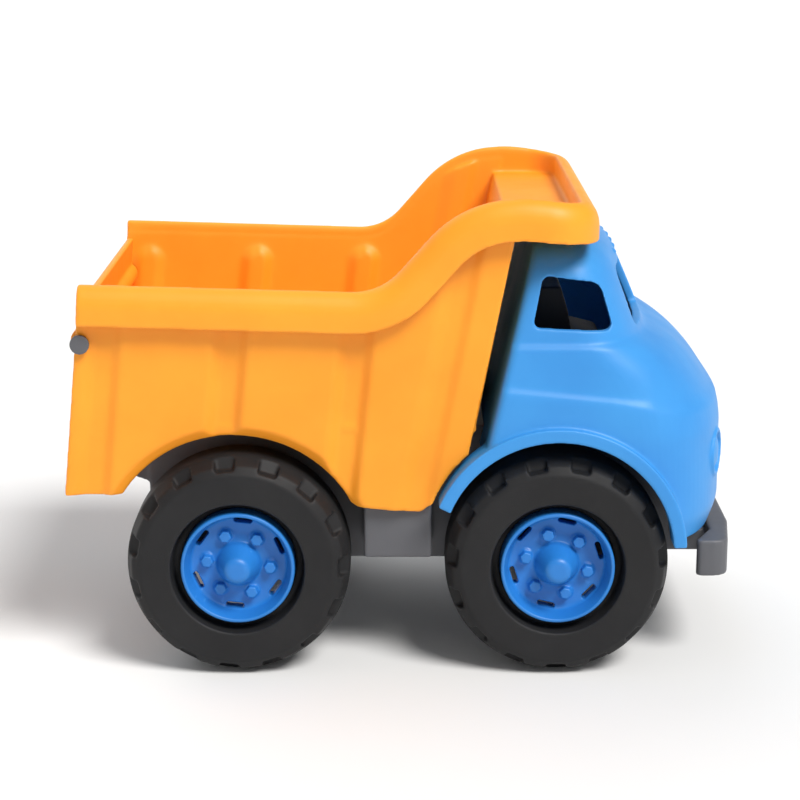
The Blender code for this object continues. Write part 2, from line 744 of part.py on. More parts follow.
# ---- Cab ---------------------------------------------------------------------------------
def cab_levels():
    """The cab's plan at each height: (z, front x, where the nose starts to round, half width)."""
    lower = [
        (CAB_BOTTOM_Z, 0.1275, 0.0860, 0.0795),
        (CAB_BOTTOM_Z + 0.0110, 0.1310, 0.0860, 0.0808),
        (CAB_BELT_Z - 0.0382, 0.1308, 0.0840, 0.0805),
        (CAB_BELT_Z - 0.0292, 0.1293, 0.0820, 0.0796),
        (CAB_BELT_Z - 0.0242, 0.1272, 0.0800, 0.0780),
        (CAB_BELT_Z - 0.0157, 0.1210, 0.0770, 0.0770),
        (CAB_BELT_Z - 0.0082, 0.1132, 0.0730, 0.0764),
        (CAB_BELT_Z - 0.0027, 0.1048, 0.0700, 0.0758),
        (CAB_BELT_Z, 0.0993, 0.0690, 0.0752),
    ]
    upper = [
        (CAB_BELT_Z + 0.0023, 0.0981, 0.0250, 0.0737),
        (CAB_TOP_Z - 0.0194, 0.0908, 0.0182, 0.0714),
        (CAB_TOP_Z - 0.0104, 0.0866, 0.0147, 0.0688),
        (CAB_TOP_Z - 0.0036, 0.0815, 0.0106, 0.0630),
        (CAB_TOP_Z, 0.0700, 0.0058, 0.0500),
    ]
    return lower + [(z, front, cab_rear_x(z) + side, half) for z, front, side, half in upper]


def cab_rear_x(z):
    return CAB_REAR_X + (z - CAB_REAR_Z) * math.tan(CAB_REAR_LEAN)


def cab_ring(z, front, straight, half, steps=7):
    """One level of the cab: a straight rear with rounded corners, straight sides and a round nose."""
    rear = cab_rear_x(z)
    turn = CAB_REAR_ROUND
    power = 2 / NOSE_POWER
    right = [(rear, 0.0)]
    right += arc((rear + turn, turn - half), turn, math.pi, math.pi * 1.5, 2)
    for step in range(steps + 1):
        angle = math.pi / 2 * (1 - step / steps)
        reach = math.cos(angle) ** power
        across = math.sin(angle) ** power
        right.append((straight + (front - straight) * reach, -half * across))
    left = [(x, -y) for x, y in reversed(right[1:-1])]
    return [(x, y, z) for x, y in right + left]


def cab_skin(name, capped):
    return loft(name, [cab_ring(*level) for level in cab_levels()], capped)


def fender_band(side):
    """The band round the wheel arch, which runs past the cab's rear edge."""
    low = FENDER_RADIUS
    high = low + FENDER_BAND
    front = math.asin((CAB_BOTTOM_Z - FENDER_Z) / low)
    rear = FENDER_REAR_ANGLE
    outline = arc((FENDER_X, FENDER_Z), low, front, rear, 18)
    outline += arc((FENDER_X, FENDER_Z), high, rear - 0.01, front, 18)
    ends = sorted((side * (FENDER_HALF_WIDTH - FENDER_DEPTH), side * FENDER_HALF_WIDTH))
    return side_prism("band", outline, *ends)


def window_outline():
    return rounded(
        [
            (0.0498, CAB_BELT_Z + 0.0070, 0.0025),
            (0.0813, CAB_BELT_Z + 0.0054, 0.0025),
            (0.0758, CAB_TOP_Z - 0.0144, 0.0070),
            (0.0537, CAB_TOP_Z - 0.0114, 0.0030),
        ],
        3,
    )


def windscreen_pane():
    """The outline of the left pane of the windscreen, which a post divides in two."""
    post = SCREEN_POST / 2
    sill = CAB_BELT_Z + SCREEN_SILL
    header = CAB_TOP_Z - SCREEN_HEADER
    return rounded(
        [
            (post, sill, 0.0020),
            (SCREEN_BOTTOM_HALF, sill, 0.0030),
            (SCREEN_TOP_HALF, header, 0.0060),
            (post, header, 0.0020),
        ],
        3,
    )


def boss_places():
    """The cab's four screw bosses, as (x, y, top z)."""
    rear_x = cab_rear_x(FRAME_TOP_Z) + CAB_WALL + REAR_BOSS_SETBACK
    rear_top = FRAME_TOP_Z + REAR_BOSS_HEIGHT
    places = []
    for y in (-BOSS_HALF_SPACING, BOSS_HALF_SPACING):
        places.append((rear_x, y, rear_top))
        places.append((FRONT_BOSS_X, y, RIM_TOP_Z))
    return places


def make_cab(blue):
    cab = thickened(cab_skin("cab", (False, True)), CAB_WALL)
    reach = FENDER_HALF_WIDTH + 0.02
    foot = FRAME_TOP_Z + GAP
    for x, y, top in boss_places():
        boss = cylinder_z("boss", x, y, BOSS_RADIUS, foot, top)
        hull = cab_skin("hull", (True, True))
        hull.data.transform(Matrix.Translation((-CAB_WALL / 2, 0.0, -CAB_WALL / 2)))
        combined(boss, "INTERSECT", hull)
        combined(cab, "UNION", boss)
    combined(cab, "DIFFERENCE", side_prism("window", window_outline(), -reach, reach))
    for side in (-1.0, 1.0):
        pane = [(side * y, z) for y, z in windscreen_pane()]
        combined(cab, "DIFFERENCE", front_prism("pane", pane, SCREEN_CUT_X, BUMPER_FRONT_X))
        ends = sorted((side * FRAME_HALF_WIDTH, side * reach))
        arch = cylinder_y("arch", FENDER_X, FENDER_Z, FENDER_RADIUS, *ends, 60)
        combined(cab, "DIFFERENCE", arch)
    combined(cab, "UNION", fender_band(-1), fender_band(1))
    side = FRAME_HALF_WIDTH + RUNNING_GAP
    tunnel = block(
        "tunnel", (0.0, -side, 0.0), (FRAME_FRONT_X + RUNNING_GAP, side, FRAME_TOP_Z + GAP)
    )
    combined(cab, "DIFFERENCE", tunnel)
    for x, y, _top in boss_places():
        bore = cylinder_z("bore", x, y, SCREW_RADIUS + GAP, 0.0, screw_top_z() + GAP)
        combined(cab, "DIFFERENCE", bore)
    return finished(cab, blue)


# ---- Cab screws --------------------------------------------------------------------------
def screw_top_z():
    return FRAME_TOP_Z - FRAME_WALL + SCREW_LENGTH


def make_cab_screws(steel):
    """Headed screws, each up through the frame's deck into a boss of the cab."""
    under = FRAME_TOP_Z - FRAME_WALL - GAP
    for number, (x, y, _top) in enumerate(boss_places(), start=1):
        screw = cylinder_z(f"cab_screw_{number}", x, y, SCREW_HEAD_RADIUS, under - SCREW_HEAD, under)
        shank = cylinder_z("shank", x, y, SCREW_RADIUS, under - SCREW_HEAD / 2, screw_top_z())
        combined(screw, "UNION", shank)
        finished(screw, steel)


# ---- Seat --------------------------------------------------------------------------------
def make_seat(dark):
    """The cab's bench and bulkhead, open below, with a rounded top edge."""
    foot = FRAME_TOP_Z + GAP
    back = cab_rear_x(FRAME_TOP_Z) + CAB_WALL + REAR_BOSS_SETBACK + BOSS_RADIUS + SEAT_BOSS_GAP
    outline = [(back, foot), (cab_rear_x(SEAT_TOP_Z) + 0.0045, SEAT_TOP_Z)]
    outline += rounded(
        [
            (SEAT_BACK_X, SEAT_TOP_Z, 0.0),
            (SEAT_BACK_X + 0.0030, SEAT_TOP_Z - 0.0100, 0.0),
            (SEAT_BACK_X + 0.0065, SEAT_TOP_Z - 0.0290, 0.0),
            (SEAT_FRONT_X - 0.0020, SEAT_TOP_Z - SEAT_BENCH_DROP, 0.0030),
            (SEAT_FRONT_X, foot, 0.0),
        ],
        3,
    )
    half = SEAT_HALF_WIDTH
    seat = side_prism("cab_seat", outline, -half, half)
    work = bmesh.new()
    work.from_mesh(seat.data)
    floor = [face for face in work.faces if face.normal.z < -0.99]
    bmesh.ops.delete(work, geom=floor, context="FACES_ONLY")
    work.to_mesh(seat.data)
    work.free()
    return finished(thickened(seat, SEAT_WALL), dark)


# ---- Frame -------------------------------------------------------------------------------
def make_beam():
    """The frame's hollow beam, open below, with its lower ends chamfered."""
    outline = [
        (FRAME_REAR_X, FRAME_TOP_Z),
        (FRAME_REAR_X, FRAME_BOTTOM_Z + FRAME_CHAMFER),
        (FRAME_REAR_X + FRAME_CHAMFER, FRAME_BOTTOM_Z),
        (FRAME_FRONT_X - FRAME_CHAMFER, FRAME_BOTTOM_Z),
        (FRAME_FRONT_X, FRAME_BOTTOM_Z + FRAME_CHAMFER),
        (FRAME_FRONT_X, FRAME_TOP_Z),
    ]
    beam = side_prism("chassis", outline, -FRAME_HALF_WIDTH, FRAME_HALF_WIDTH)
    inner = FRAME_HALF_WIDTH - FRAME_WALL
    hollow = block(
        "hollow",
        (FRAME_REAR_X + FRAME_WALL, -inner, 0.0),
        (FRAME_FRONT_X - FRAME_WALL, inner, FRAME_TOP_Z - FRAME_WALL),
    )
    return combined(beam, "DIFFERENCE", hollow)


def add_axle_bearings(frame):
    """A web across the beam over each axle, with a long boss at each side, bored through."""
    inner = FRAME_HALF_WIDTH - FRAME_WALL / 2
    boss = AXLE_RADIUS + RUNNING_GAP + FRAME_WALL
    for x in (FRONT_AXLE_X, REAR_AXLE_X):
        low = (x - FRAME_WALL / 2, -inner, AXLE_Z)
        high = (x + FRAME_WALL / 2, inner, FRAME_TOP_Z - FRAME_WALL / 2)
        combined(frame, "UNION", block("web", low, high))
        for side in (-1.0, 1.0):
            ends = sorted((side * inner / 2, side * (FRAME_HALF_WIDTH - 0.0002)))
            combined(frame, "UNION", cylinder_y("boss", x, AXLE_Z, boss, *ends, 20))
        bore = cylinder_y("bore", x, AXLE_Z, AXLE_RADIUS + AXLE_BORE_GAP, -0.06, 0.06)
        combined(frame, "DIFFERENCE", bore)


def add_side_boxes(frame):
    """The boxes that stand out between the wheels, open below, just inside the bed's side walls."""
    half = bed_half_width(BED_SKIRT_Z) - BED_WALL - SIDE_BOX_BED_GAP
    for side in (-1.0, 1.0):
        ends = sorted((side * (FRAME_HALF_WIDTH - FRAME_WALL / 2), side * half))
        shell = block(
            "box",
            (SIDE_BOX_REAR_X, ends[0], SIDE_BOX_BOTTOM_Z),
            (SIDE_BOX_FRONT_X, ends[1], SIDE_BOX_TOP_Z),
        )
        ends = sorted((side * (FRAME_HALF_WIDTH + FRAME_WALL), side * (half - FRAME_WALL)))
        hollow = block(
            "hollow",
            (SIDE_BOX_REAR_X + FRAME_WALL, ends[0], 0.0),
            (SIDE_BOX_FRONT_X - FRAME_WALL, ends[1], SIDE_BOX_TOP_Z - FRAME_WALL),
        )
        combined(frame, "UNION", shell)
        combined(frame, "DIFFERENCE", hollow)


def add_bumper(frame):
    """The bumper on its two arms."""
    front = BUMPER_FRONT_X
    back = front - BUMPER_DEPTH
    half = BUMPER_HALF_WIDTH
    outline = rounded(
        [
            (back - BUMPER_END, -half, 0.0020),
            (front - BUMPER_SWEEP, -half, 0.0060),
            (front, -half * 0.55, 0.0),
            (front, half * 0.55, 0.0),
            (front - BUMPER_SWEEP, half, 0.0060),
            (back - BUMPER_END, half, 0.0020),
            (back, half * 0.75, 0.0),
            (back, -half * 0.75, 0.0),
        ],
        3,
    )
    combined(frame, "UNION", plan_prism("bumper", outline, BUMPER_BOTTOM_Z, BUMPER_TOP_Z))
    rise = (BUMPER_TOP_Z - BUMPER_BOTTOM_Z) / 5
    for side in (-1.0, 1.0):
        ends = sorted((side * (FRAME_HALF_WIDTH - 2 * FRAME_WALL), side * (FRAME_HALF_WIDTH - 0.0003)))
        arm = block(
            "arm",
            (FRAME_FRONT_X - 1.4 * FRAME_CHAMFER, ends[0], BUMPER_BOTTOM_Z + rise),
            (back + BUMPER_DEPTH / 2, ends[1], BUMPER_TOP_Z - rise),
        )
        combined(frame, "UNION", arm)


def add_hinge_ears(frame):
    """The ears at the rear that hold the bed's hinge pins."""
    for side in (-1.0, 1.0):
        outline = arc((HINGE_X, HINGE_Z), HINGE_EYE, math.pi / 2, math.pi * 1.5, 8)
        outline.append((FRAME_REAR_X + FRAME_WALL, HINGE_Z - HINGE_EYE - 0.006))
        outline.append((FRAME_REAR_X + FRAME_WALL, HINGE_Z + HINGE_EYE))
        ends = sorted((side * (FRAME_HALF_WIDTH - LUG_EAR_WIDTH), side * (FRAME_HALF_WIDTH - 0.0004)))
        combined(frame, "UNION", side_prism("ear", outline, *ends))
    hole = HINGE_PIN_RADIUS + GAP
    combined(frame, "DIFFERENCE", cylinder_y("bore", HINGE_X, HINGE_Z, hole, -0.06, 0.06))


def add_bed_rails(frame):
    """Two rails on the deck that the bed's floor rests on."""
    for side in (-1.0, 1.0):
        outer = FRAME_HALF_WIDTH - RAIL_INSET
        ends = sorted((side * (outer - FRAME_WALL), side * outer))
        rail = block(
            "rail",
            (RAIL_REAR_X, ends[0], FRAME_TOP_Z - FRAME_WALL / 2),
            (RAIL_FRONT_X, ends[1], BED_FLOOR_Z - BED_WALL - GAP),
        )
        combined(frame, "UNION", rail)


def make_chassis(grey):
    frame = make_beam()
    add_axle_bearings(frame)
    add_side_boxes(frame)
    add_bumper(frame)
    add_hinge_ears(frame)
    add_bed_rails(frame)
    for x, y, _top in boss_places():
        bore = cylinder_z("bore", x, y, SCREW_RADIUS + GAP, FRAME_TOP_Z - 0.01, FRAME_TOP_Z + 0.01)
        combined(frame, "DIFFERENCE", bore)
    return finished(frame, grey)


def make_hinge_pin(name, side, grey):
    """A headed pin through the frame's ear and the bed's lug."""
    outer = FRAME_HALF_WIDTH - 0.0004 + GAP
    inner = FRAME_HALF_WIDTH - 2 * LUG_EAR_WIDTH - 2 * RUNNING_GAP
    pin = cylinder_y(name, HINGE_X, HINGE_Z, HINGE_PIN_RADIUS * 1.6, outer, outer + HINGE_HEAD)
    shank = cylinder_y("shank", HINGE_X, HINGE_Z, HINGE_PIN_RADIUS, inner, outer + HINGE_HEAD / 2)
    combined(pin, "UNION", shank)
    if side < 0:
        pin.data.transform(Matrix.Scale(-1.0, 4, (0.0, 1.0, 0.0)))
        pin.data.flip_normals()
    return finished(pin, grey)


# ---- The truck ---------------------------------------------------------------------------
def main():
    for thing in list(bpy.data.objects):
        bpy.data.objects.remove(thing)
    orange = plastic("orange_plastic", (0.95, 0.33, 0.03), 0.42)
    blue = plastic("blue_plastic", (0.05, 0.26, 0.72), 0.40)
    charcoal = plastic("charcoal_plastic", (0.035, 0.035, 0.038), 0.55)
    grey = plastic("grey_plastic", (0.085, 0.088, 0.10), 0.50)
    steel = plastic("screw_steel", (0.45, 0.45, 0.46), 0.35)
    steel.node_tree.nodes["Principled BSDF"].inputs["Metallic"].default_value = 1.0

    bed_line = joint_empty("bed_hinge_line", (HINGE_X, 0.0, HINGE_Z))
    gate_line = joint_empty("tailgate_hinge_line", (gate_hinge_x(), 0.0, GATE_HINGE_Z))
    make_chassis(grey)
    make_cab(blue)
    make_seat(charcoal)
    make_cab_screws(steel)
    make_bed(orange, bed_line)
    make_tailgate(orange, gate_line)
    for side, sign in (("left", 1), ("right", -1)):
        make_hinge_pin(f"bed_hinge_pin_{side}", sign, grey)
        make_gate_pin(f"tailgate_pin_{side}", sign, grey, bed_line)
    make_wheels(charcoal, blue, grey)


main()
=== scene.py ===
"""Toy dump truck, its looks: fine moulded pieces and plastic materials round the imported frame.

Metres, +Z up, the truck faces +X. Each piece takes its place from the CAD node that it stands for.
"""

import json
import math

import bmesh
import bpy
import numpy as np
from mathutils import Matrix, Vector

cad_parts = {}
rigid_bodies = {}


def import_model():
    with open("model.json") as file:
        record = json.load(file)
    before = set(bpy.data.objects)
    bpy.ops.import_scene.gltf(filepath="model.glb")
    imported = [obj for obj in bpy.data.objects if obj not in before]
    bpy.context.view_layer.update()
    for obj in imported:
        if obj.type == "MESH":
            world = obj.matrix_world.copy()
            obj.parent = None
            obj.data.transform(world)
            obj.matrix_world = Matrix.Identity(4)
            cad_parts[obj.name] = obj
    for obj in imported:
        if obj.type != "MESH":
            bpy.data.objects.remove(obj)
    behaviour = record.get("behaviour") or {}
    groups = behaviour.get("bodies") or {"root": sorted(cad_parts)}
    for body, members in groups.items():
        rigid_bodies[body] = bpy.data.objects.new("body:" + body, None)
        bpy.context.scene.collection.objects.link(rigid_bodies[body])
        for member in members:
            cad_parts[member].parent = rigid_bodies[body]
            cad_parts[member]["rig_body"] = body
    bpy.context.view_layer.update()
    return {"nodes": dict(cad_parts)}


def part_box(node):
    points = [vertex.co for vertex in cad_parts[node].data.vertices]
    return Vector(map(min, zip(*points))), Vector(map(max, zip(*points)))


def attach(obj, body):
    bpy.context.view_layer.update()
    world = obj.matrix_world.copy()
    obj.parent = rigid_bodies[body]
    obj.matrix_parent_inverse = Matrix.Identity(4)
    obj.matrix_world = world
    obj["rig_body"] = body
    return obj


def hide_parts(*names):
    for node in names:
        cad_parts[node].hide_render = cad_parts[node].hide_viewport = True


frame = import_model()
COARSER = 1.0

# Each kind of piece: the size of its skin's cells, how often it is smoothed, the share of faces it keeps
MOULD = {
    "bed": (0.00070, 6, 0.45),
    "tailgate": (0.00060, 5, 0.40),
    "cab": (0.00055, 7, 0.35),
    "tyre": (0.00055, 4, 0.45),
    "hub": (0.00033, 4, 0.40),
    "chassis": (0.00070, 5, 0.35),
    "seat": (0.00060, 5, 0.40),
    "axle": (0.00050, 3, 0.40),
    "pin": (0.00030, 3, 0.50),
    "screw": (0.00025, 2, 0.50),
}

# ---- Driving sizes, read off the frame ----------------------------------------------------
BED_LOW, BED_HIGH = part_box("bed")
CAB_LOW, CAB_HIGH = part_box("cab")
TYRE_LOW, TYRE_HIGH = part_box("tyre_front_left")
REAR_TYRE_LOW, REAR_TYRE_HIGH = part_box("tyre_rear_left")
PIN_LOW, PIN_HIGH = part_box("bed_hinge_pin_left")
GATE_LOW, GATE_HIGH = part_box("tailgate")
GATE_PIN_LOW, GATE_PIN_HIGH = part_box("tailgate_pin_left")
DECK_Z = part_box("cab_seat")[0].z - 0.0003
AXLE_Z = (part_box("front_axle")[0].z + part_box("front_axle")[1].z) / 2
FRONT_AXLE_X = (TYRE_LOW.x + TYRE_HIGH.x) / 2
REAR_AXLE_X = (REAR_TYRE_LOW.x + REAR_TYRE_HIGH.x) / 2
TYRE_RADIUS = AXLE_Z
TYRE_WIDTH = TYRE_HIGH.y - TYRE_LOW.y
TRACK = TYRE_HIGH.y + TYRE_LOW.y

# ---- Bed -----------------------------------------------------------------------------------
BED_WALL = 0.0030
BED_DRAFT = math.radians(3.0)
RIM_OVERHANG = 0.0050
RIM_TOP_Z = BED_HIGH.z + 0.0003
BED_HALF_WIDTH = BED_HIGH.y - RIM_OVERHANG - 0.0001
BED_REAR_X = BED_LOW.x
BED_REAR_Z = 0.0720
BED_REAR_LEAN = math.radians(5.7)
BED_FLOOR_Z = DECK_Z + 0.0090
BED_SKIRT_Z = BED_LOW.z
BED_FRONT_X = 0.0259
BED_FRONT_Z = 0.0889
BED_FRONT_LEAN = math.radians(10.8)
ARCH_X = REAR_AXLE_X - 0.0015
ARCH_RADIUS = 0.0520
ARCH_LIP_DEPTH = 0.0027
ARCH_LIP_HEIGHT = 0.0040
RIM_LOW_X = -0.0092
RIM_LOW_Z = RIM_TOP_Z - 0.0368
RIM_REAR_Z = RIM_LOW_Z + 0.0033
RIM_RISE_X = 0.0215
RIM_RISE_Z = RIM_TOP_Z - 0.0021
RIM_TOP_X = 0.0470
RIM_NOSE_X = 0.0688
RIM_NOSE_Z = RIM_TOP_Z - 0.0030
RIM_HEIGHT = 0.0155
RIM_SKIN = 0.0024
RIM_CORNER = 0.0140
RIM_CROWN = 0.0095
RIM_INNER_ROUND = 0.0030
RIM_RIDGE = 0.0004
RIM_WALL_LAP = 0.0115
RIM_ROOF = 0.0046
RIM_FILLET = 0.0014
RIM_FILLET_DROP = (0.0044, 0.0064)
RIM_EDGE_DROP = 0.0050
RIM_NOSE_FALL = 0.138
CANOPY_DROP = 0.0090
GROOVE_X = (-0.1160, -0.0670, -0.0185)
GROOVE_Z = 0.1370
GROOVE_LEAN = math.radians(6.0)
GROOVE_HALF_WIDTH = 0.0082
GROOVE_DEPTH = (0.0020, 0.0028, 0.0028)
GROOVE_TOP_Z = 0.1475
GROOVE_FLANKS = (0.80, 0.62)
FRONT_GROOVE_X = 0.0172
FRONT_GROOVE_DEPTH = 0.0018
FRONT_GROOVE_FLANKS = (0.95, 0.62)
WALL_GRID = 0.0010
SKIRT_CORNER = 0.0025
SKIRT_END_Z = BED_SKIRT_Z + 0.0040
FENDER_CLEARANCE = 0.0014
HINGE_X = (PIN_LOW.x + PIN_HIGH.x) / 2
HINGE_Z = (PIN_LOW.z + PIN_HIGH.z) / 2
HINGE_EYE = 0.0068
HINGE_BORE = 0.0034
LUG_OUTER_Y = 0.0346
LUG_WIDTH = 0.0060

# ---- Tailgate ------------------------------------------------------------------------------
GATE_HINGE_X = (GATE_PIN_LOW.x + GATE_PIN_HIGH.x) / 2
GATE_HINGE_Z = (GATE_PIN_LOW.z + GATE_PIN_HIGH.z) / 2
GATE_WALL = 0.0030
GATE_GAP = 0.0010
GATE_SIDE_GAP = 0.0008
GATE_KNUCKLE = 0.0046
GATE_BORE = 0.0028
GATE_PIN_DEPTH = 0.0093
GATE_PANEL_DEPTH = 0.0011
GATE_PANEL_Y = (-0.0440, 0.0, 0.0440)
GATE_PANEL_HALF_WIDTH = 0.0190
GATE_PANEL_FOOT = 0.0050
GATE_PANEL_HEAD = 0.0030
GATE_PANEL_ROUND = 0.0040

# ---- Cab -----------------------------------------------------------------------------------
CAB_WALL = 0.0030
CAB_BOTTOM_Z = CAB_LOW.z
CAB_TOP_Z = CAB_HIGH.z
CAB_BELT_Z = DECK_Z + 0.0402
CAB_REAR_X = 0.0318
CAB_REAR_Z = 0.0900
CAB_REAR_LEAN = math.radians(12.9)
CAB_REAR_ROUND = 0.0030
NOSE_POWER = 2.6
SCREEN_POST = 0.0080
SCREEN_CUT_X = CAB_REAR_X + 0.045
CREASE_Z = 0.1073
CREASE_REACH = 0.0220
CREASE_X = (0.0300, 0.0398, 0.0745, 0.0954, 0.1016, 0.1080)
CREASE_LIFT = (0.0090, 0.0084, 0.0054, 0.0024, 0.0, -0.0010)
FENDER_X = FRONT_AXLE_X - 0.0002
FENDER_Z = AXLE_Z + 0.0060
FENDER_RADIUS = 0.0455
FENDER_BAND = 0.0053
FENDER_DEPTH = 0.0140
FENDER_HALF_WIDTH = CAB_HIGH.y
FRAME_HALF_WIDTH = 0.0410
FRAME_FRONT_X = 0.1120
FRAME_GAP = 0.0004
DECK_GAP = 0.0003
BOSS_RADIUS = 0.0045
BOSS_SPLIT_X = 0.07
SCREW_BORE = 0.0021
SCREW_REACH = 0.0123
GRILLE_BARS = 5
GRILLE_Z = 0.0680
GRILLE_PITCH = 0.0065
GRILLE_BAR = 0.0034
GRILLE_DEPTH = 0.0016
GRILLE_HALF_WIDTH = 0.0320
ROOF_LIGHT_Y = (-0.0280, -0.0140, 0.0, 0.0140, 0.0280)
ROOF_LIGHT_DROP = 0.0090
ROOF_LIGHT_RADII = (0.0014, 0.0018, 0.0014)
HEADLIGHT_Y = 0.0480
HEADLIGHT_Z = 0.0830
HEADLIGHT_RADIUS = 0.0098
HEADLIGHT_LIP = 0.0018
HEADLIGHT_SIDES = 72

# ---- Wheels --------------------------------------------------------------------------------
TYRE_BAND = 0.0072
TYRE_COLUMNS = 240
TREAD_POCKETS = 15
POCKET_RINGS = ((0.0396, 0.0036, 0.0064), (0.0408, 0.0039, 0.0070), (0.0470, 0.0045, 0.0112))
HUB_RADIUS = 0.0225
HUB_SLEEVE = 0.0080
HUB_BORE = 0.0053
HUB_FLANGE = (0.0036, 0.0025)
HUB_COLUMNS = 144
HUB_LIP_Y = TYRE_WIDTH / 2 - 0.0016
HUB_FACE_Y = 0.0080
LUG_NUTS = 6
LUG_CIRCLE = 0.0125
NUT_RADIUS = 0.0025
NUT_HEIGHT = 0.0038
NUT_COLLAR = (0.0031, 0.0007)
SLOT_CIRCLE = 0.0177
SLOT_HALF = (0.001, 0.0037)
HUB_TURN = {"front": math.radians(13.0), "rear": math.radians(6.0)}
TYRE_TURN = {"front": math.radians(12.0), "rear": math.radians(-6.4)}

# ---- Stage and camera ----------------------------------------------------------------------
SWEEP_PROFILE = ((0.5, 0.0), (12.0, 0.0), (12.8, 0.05), (13.4, 0.22), (13.8, 0.55), (14.0, 1.0), (14.0, 3.4))
SWEEP_SIDES = 96
CAMERA_PLACE = (-0.0016, -0.8790, 0.3107)
CAMERA_DIP = 13.94
CAMERA_LENS = 95.94


# ---- Mesh helpers --------------------------------------------------------------------------
def solid(name, points, faces):
    """A mesh object from points and faces, with doubled points merged and its faces turned outward."""
    mesh = bpy.data.meshes.new(name)
    mesh.from_pydata([tuple(point) for point in points], [], faces)
    work = bmesh.new()
    work.from_mesh(mesh)
    bmesh.ops.remove_doubles(work, verts=work.verts, dist=1e-6)
    bmesh.ops.recalc_face_normals(work, faces=work.faces)
    work.to_mesh(mesh)
    work.free()
    result = bpy.data.objects.new(name, mesh)
    bpy.context.scene.collection.objects.link(result)
    return result


def loft(name, rings, capped=(True, True)):
    """A skin over rings that have equally many points, with a face on each capped end."""
    count = len(rings[0])
    points = [point for ring in rings for point in ring]
    faces = []
    for level in range(len(rings) - 1):
        low = level * count
        for step in range(count):
            after = (step + 1) % count
            faces.append((low + step, low + after, low + count + after, low + count + step))
    if capped[0]:
        faces.append(tuple(range(count)))
    if capped[1]:
        faces.append(tuple(range(len(points) - count, len(points))))
    return solid(name, points, faces)


def side_prism(name, outline, low_y, high_y):
    return loft(name, [[(x, y, z) for x, z in outline] for y in (low_y, high_y)])


def plan_prism(name, outline, low_z, high_z):
    return loft(name, [[(x, y, z) for x, y in outline] for z in (low_z, high_z)])


def front_prism(name, outline, low_x, high_x):
    return loft(name, [[(x, y, z) for y, z in outline] for x in (low_x, high_x)])


def block(name, low, high):
    corners = [(low[0], low[1]), (high[0], low[1]), (high[0], high[1]), (low[0], high[1])]
    return plan_prism(name, corners, low[2], high[2])


def arc(centre, radius, start, stop, steps):
    angles = [start + (stop - start) * step / steps for step in range(steps + 1)]
    return [(centre[0] + radius * math.cos(a), centre[1] + radius * math.sin(a)) for a in angles]


def rounded(corners, steps=16):
    """A polyline or an outline whose corners, given as (u, v, radius), are rounded by arcs."""
    result = []
    for index, (u, v, radius) in enumerate(corners):
        here = Vector((u, v))
        if not radius:
            result.append((u, v))
            continue
        back = (Vector(corners[index - 1][:2]) - here).normalized()
        ahead = (Vector(corners[(index + 1) % len(corners)][:2]) - here).normalized()
        half = back.angle(ahead) / 2
        centre = here + (back + ahead).normalized() * radius / math.sin(half)
        first = here + back * radius / math.tan(half) - centre
        last = here + ahead * radius / math.tan(half) - centre
        turn = first.angle_signed(last)
        for step in range(steps + 1):
            point = centre + Matrix.Rotation(-turn * step / steps, 2) @ first
            result.append((point.x, point.y))
    return result


def cylinder_y(name, x, z, radius, low_y, high_y, columns=72):
    ring = arc((x, z), radius, 0.0, math.tau * (columns - 1) / columns, columns - 1)
    return side_prism(name, ring, low_y, high_y)


def cylinder_z(name, x, y, radius, low_z, high_z, columns=40):
    ring = arc((x, y), radius, 0.0, math.tau * (columns - 1) / columns, columns - 1)
    return plan_prism(name, ring, low_z, high_z)


def turned(name, section, columns):
    """A body turned about Y from a closed section of (radius, y)."""
    rings = []
    for step in range(columns):
        angle = math.tau * step / columns
        rings.append([(r * math.cos(angle), y, r * math.sin(angle)) for r, y in section])
    return loft(name, [*rings, rings[0]], capped=(False, False))


def dome(name, centre, radii, columns=24, levels=12):
    """An ellipsoid with a point at each pole."""
    rings = []
    for level in range(levels + 1):
        tilt = math.pi * (level / levels - 0.5)
        ring = []
        for step in range(columns):
            angle = math.tau * step / columns
            ring.append(
                (
                    centre[0] + radii[0] * math.cos(tilt) * math.cos(angle),
                    centre[1] + radii[1] * math.cos(tilt) * math.sin(angle),
                    centre[2] + radii[2] * math.sin(tilt),
                )
            )
        rings.append(ring)
    return loft(name, rings, capped=(False, False))


def mirrored(piece):
    """Turns a piece over to the truck's other side."""
    piece.data.transform(Matrix.Scale(-1.0, 4, (0.0, 1.0, 0.0)))
    piece.data.flip_normals()
    return piece


def baked(target):
    """Turns the object's modifiers into its mesh."""
    graph = bpy.context.evaluated_depsgraph_get()
    mesh = bpy.data.meshes.new_from_object(target.evaluated_get(graph))
    target.modifiers.clear()
    target.data = mesh
    return target


def combined(target, operation, *tools):
    """Cuts or joins each tool with the target, and removes the tool."""
    for tool in tools:
        modifier = target.modifiers.new("Boolean", "BOOLEAN")
        modifier.operation = operation
        modifier.solver = "MANIFOLD"
        modifier.object = tool
        baked(target)
        bpy.data.objects.remove(tool)
    return target


def moulded(piece, kind):
    """Gives a piece soft moulded edges: an even skin, smoothed, with its flat parts thinned out."""
    cell, passes, keep = MOULD[kind]
    remesh = piece.modifiers.new("Skin", "REMESH")
    remesh.mode = "VOXEL"
    remesh.voxel_size = cell * COARSER
    remesh.use_smooth_shade = True
    smooth = piece.modifiers.new("Soften", "SMOOTH")
    smooth.factor = 0.5
    smooth.iterations = passes
    thin = piece.modifiers.new("Thin", "DECIMATE")
    thin.ratio = keep
    baked(piece)
    piece.data.shade_smooth()
    return piece


def stands_for(piece, node, material):
    """Rides the piece on its node's body, in the node's place and material."""
    body = frame["nodes"][node]["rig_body"]
    piece.name = f"{node}_moulding"
    piece.data.materials.clear()
    piece.data.materials.append(material)
    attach(piece, body)
    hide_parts(node)
    return piece


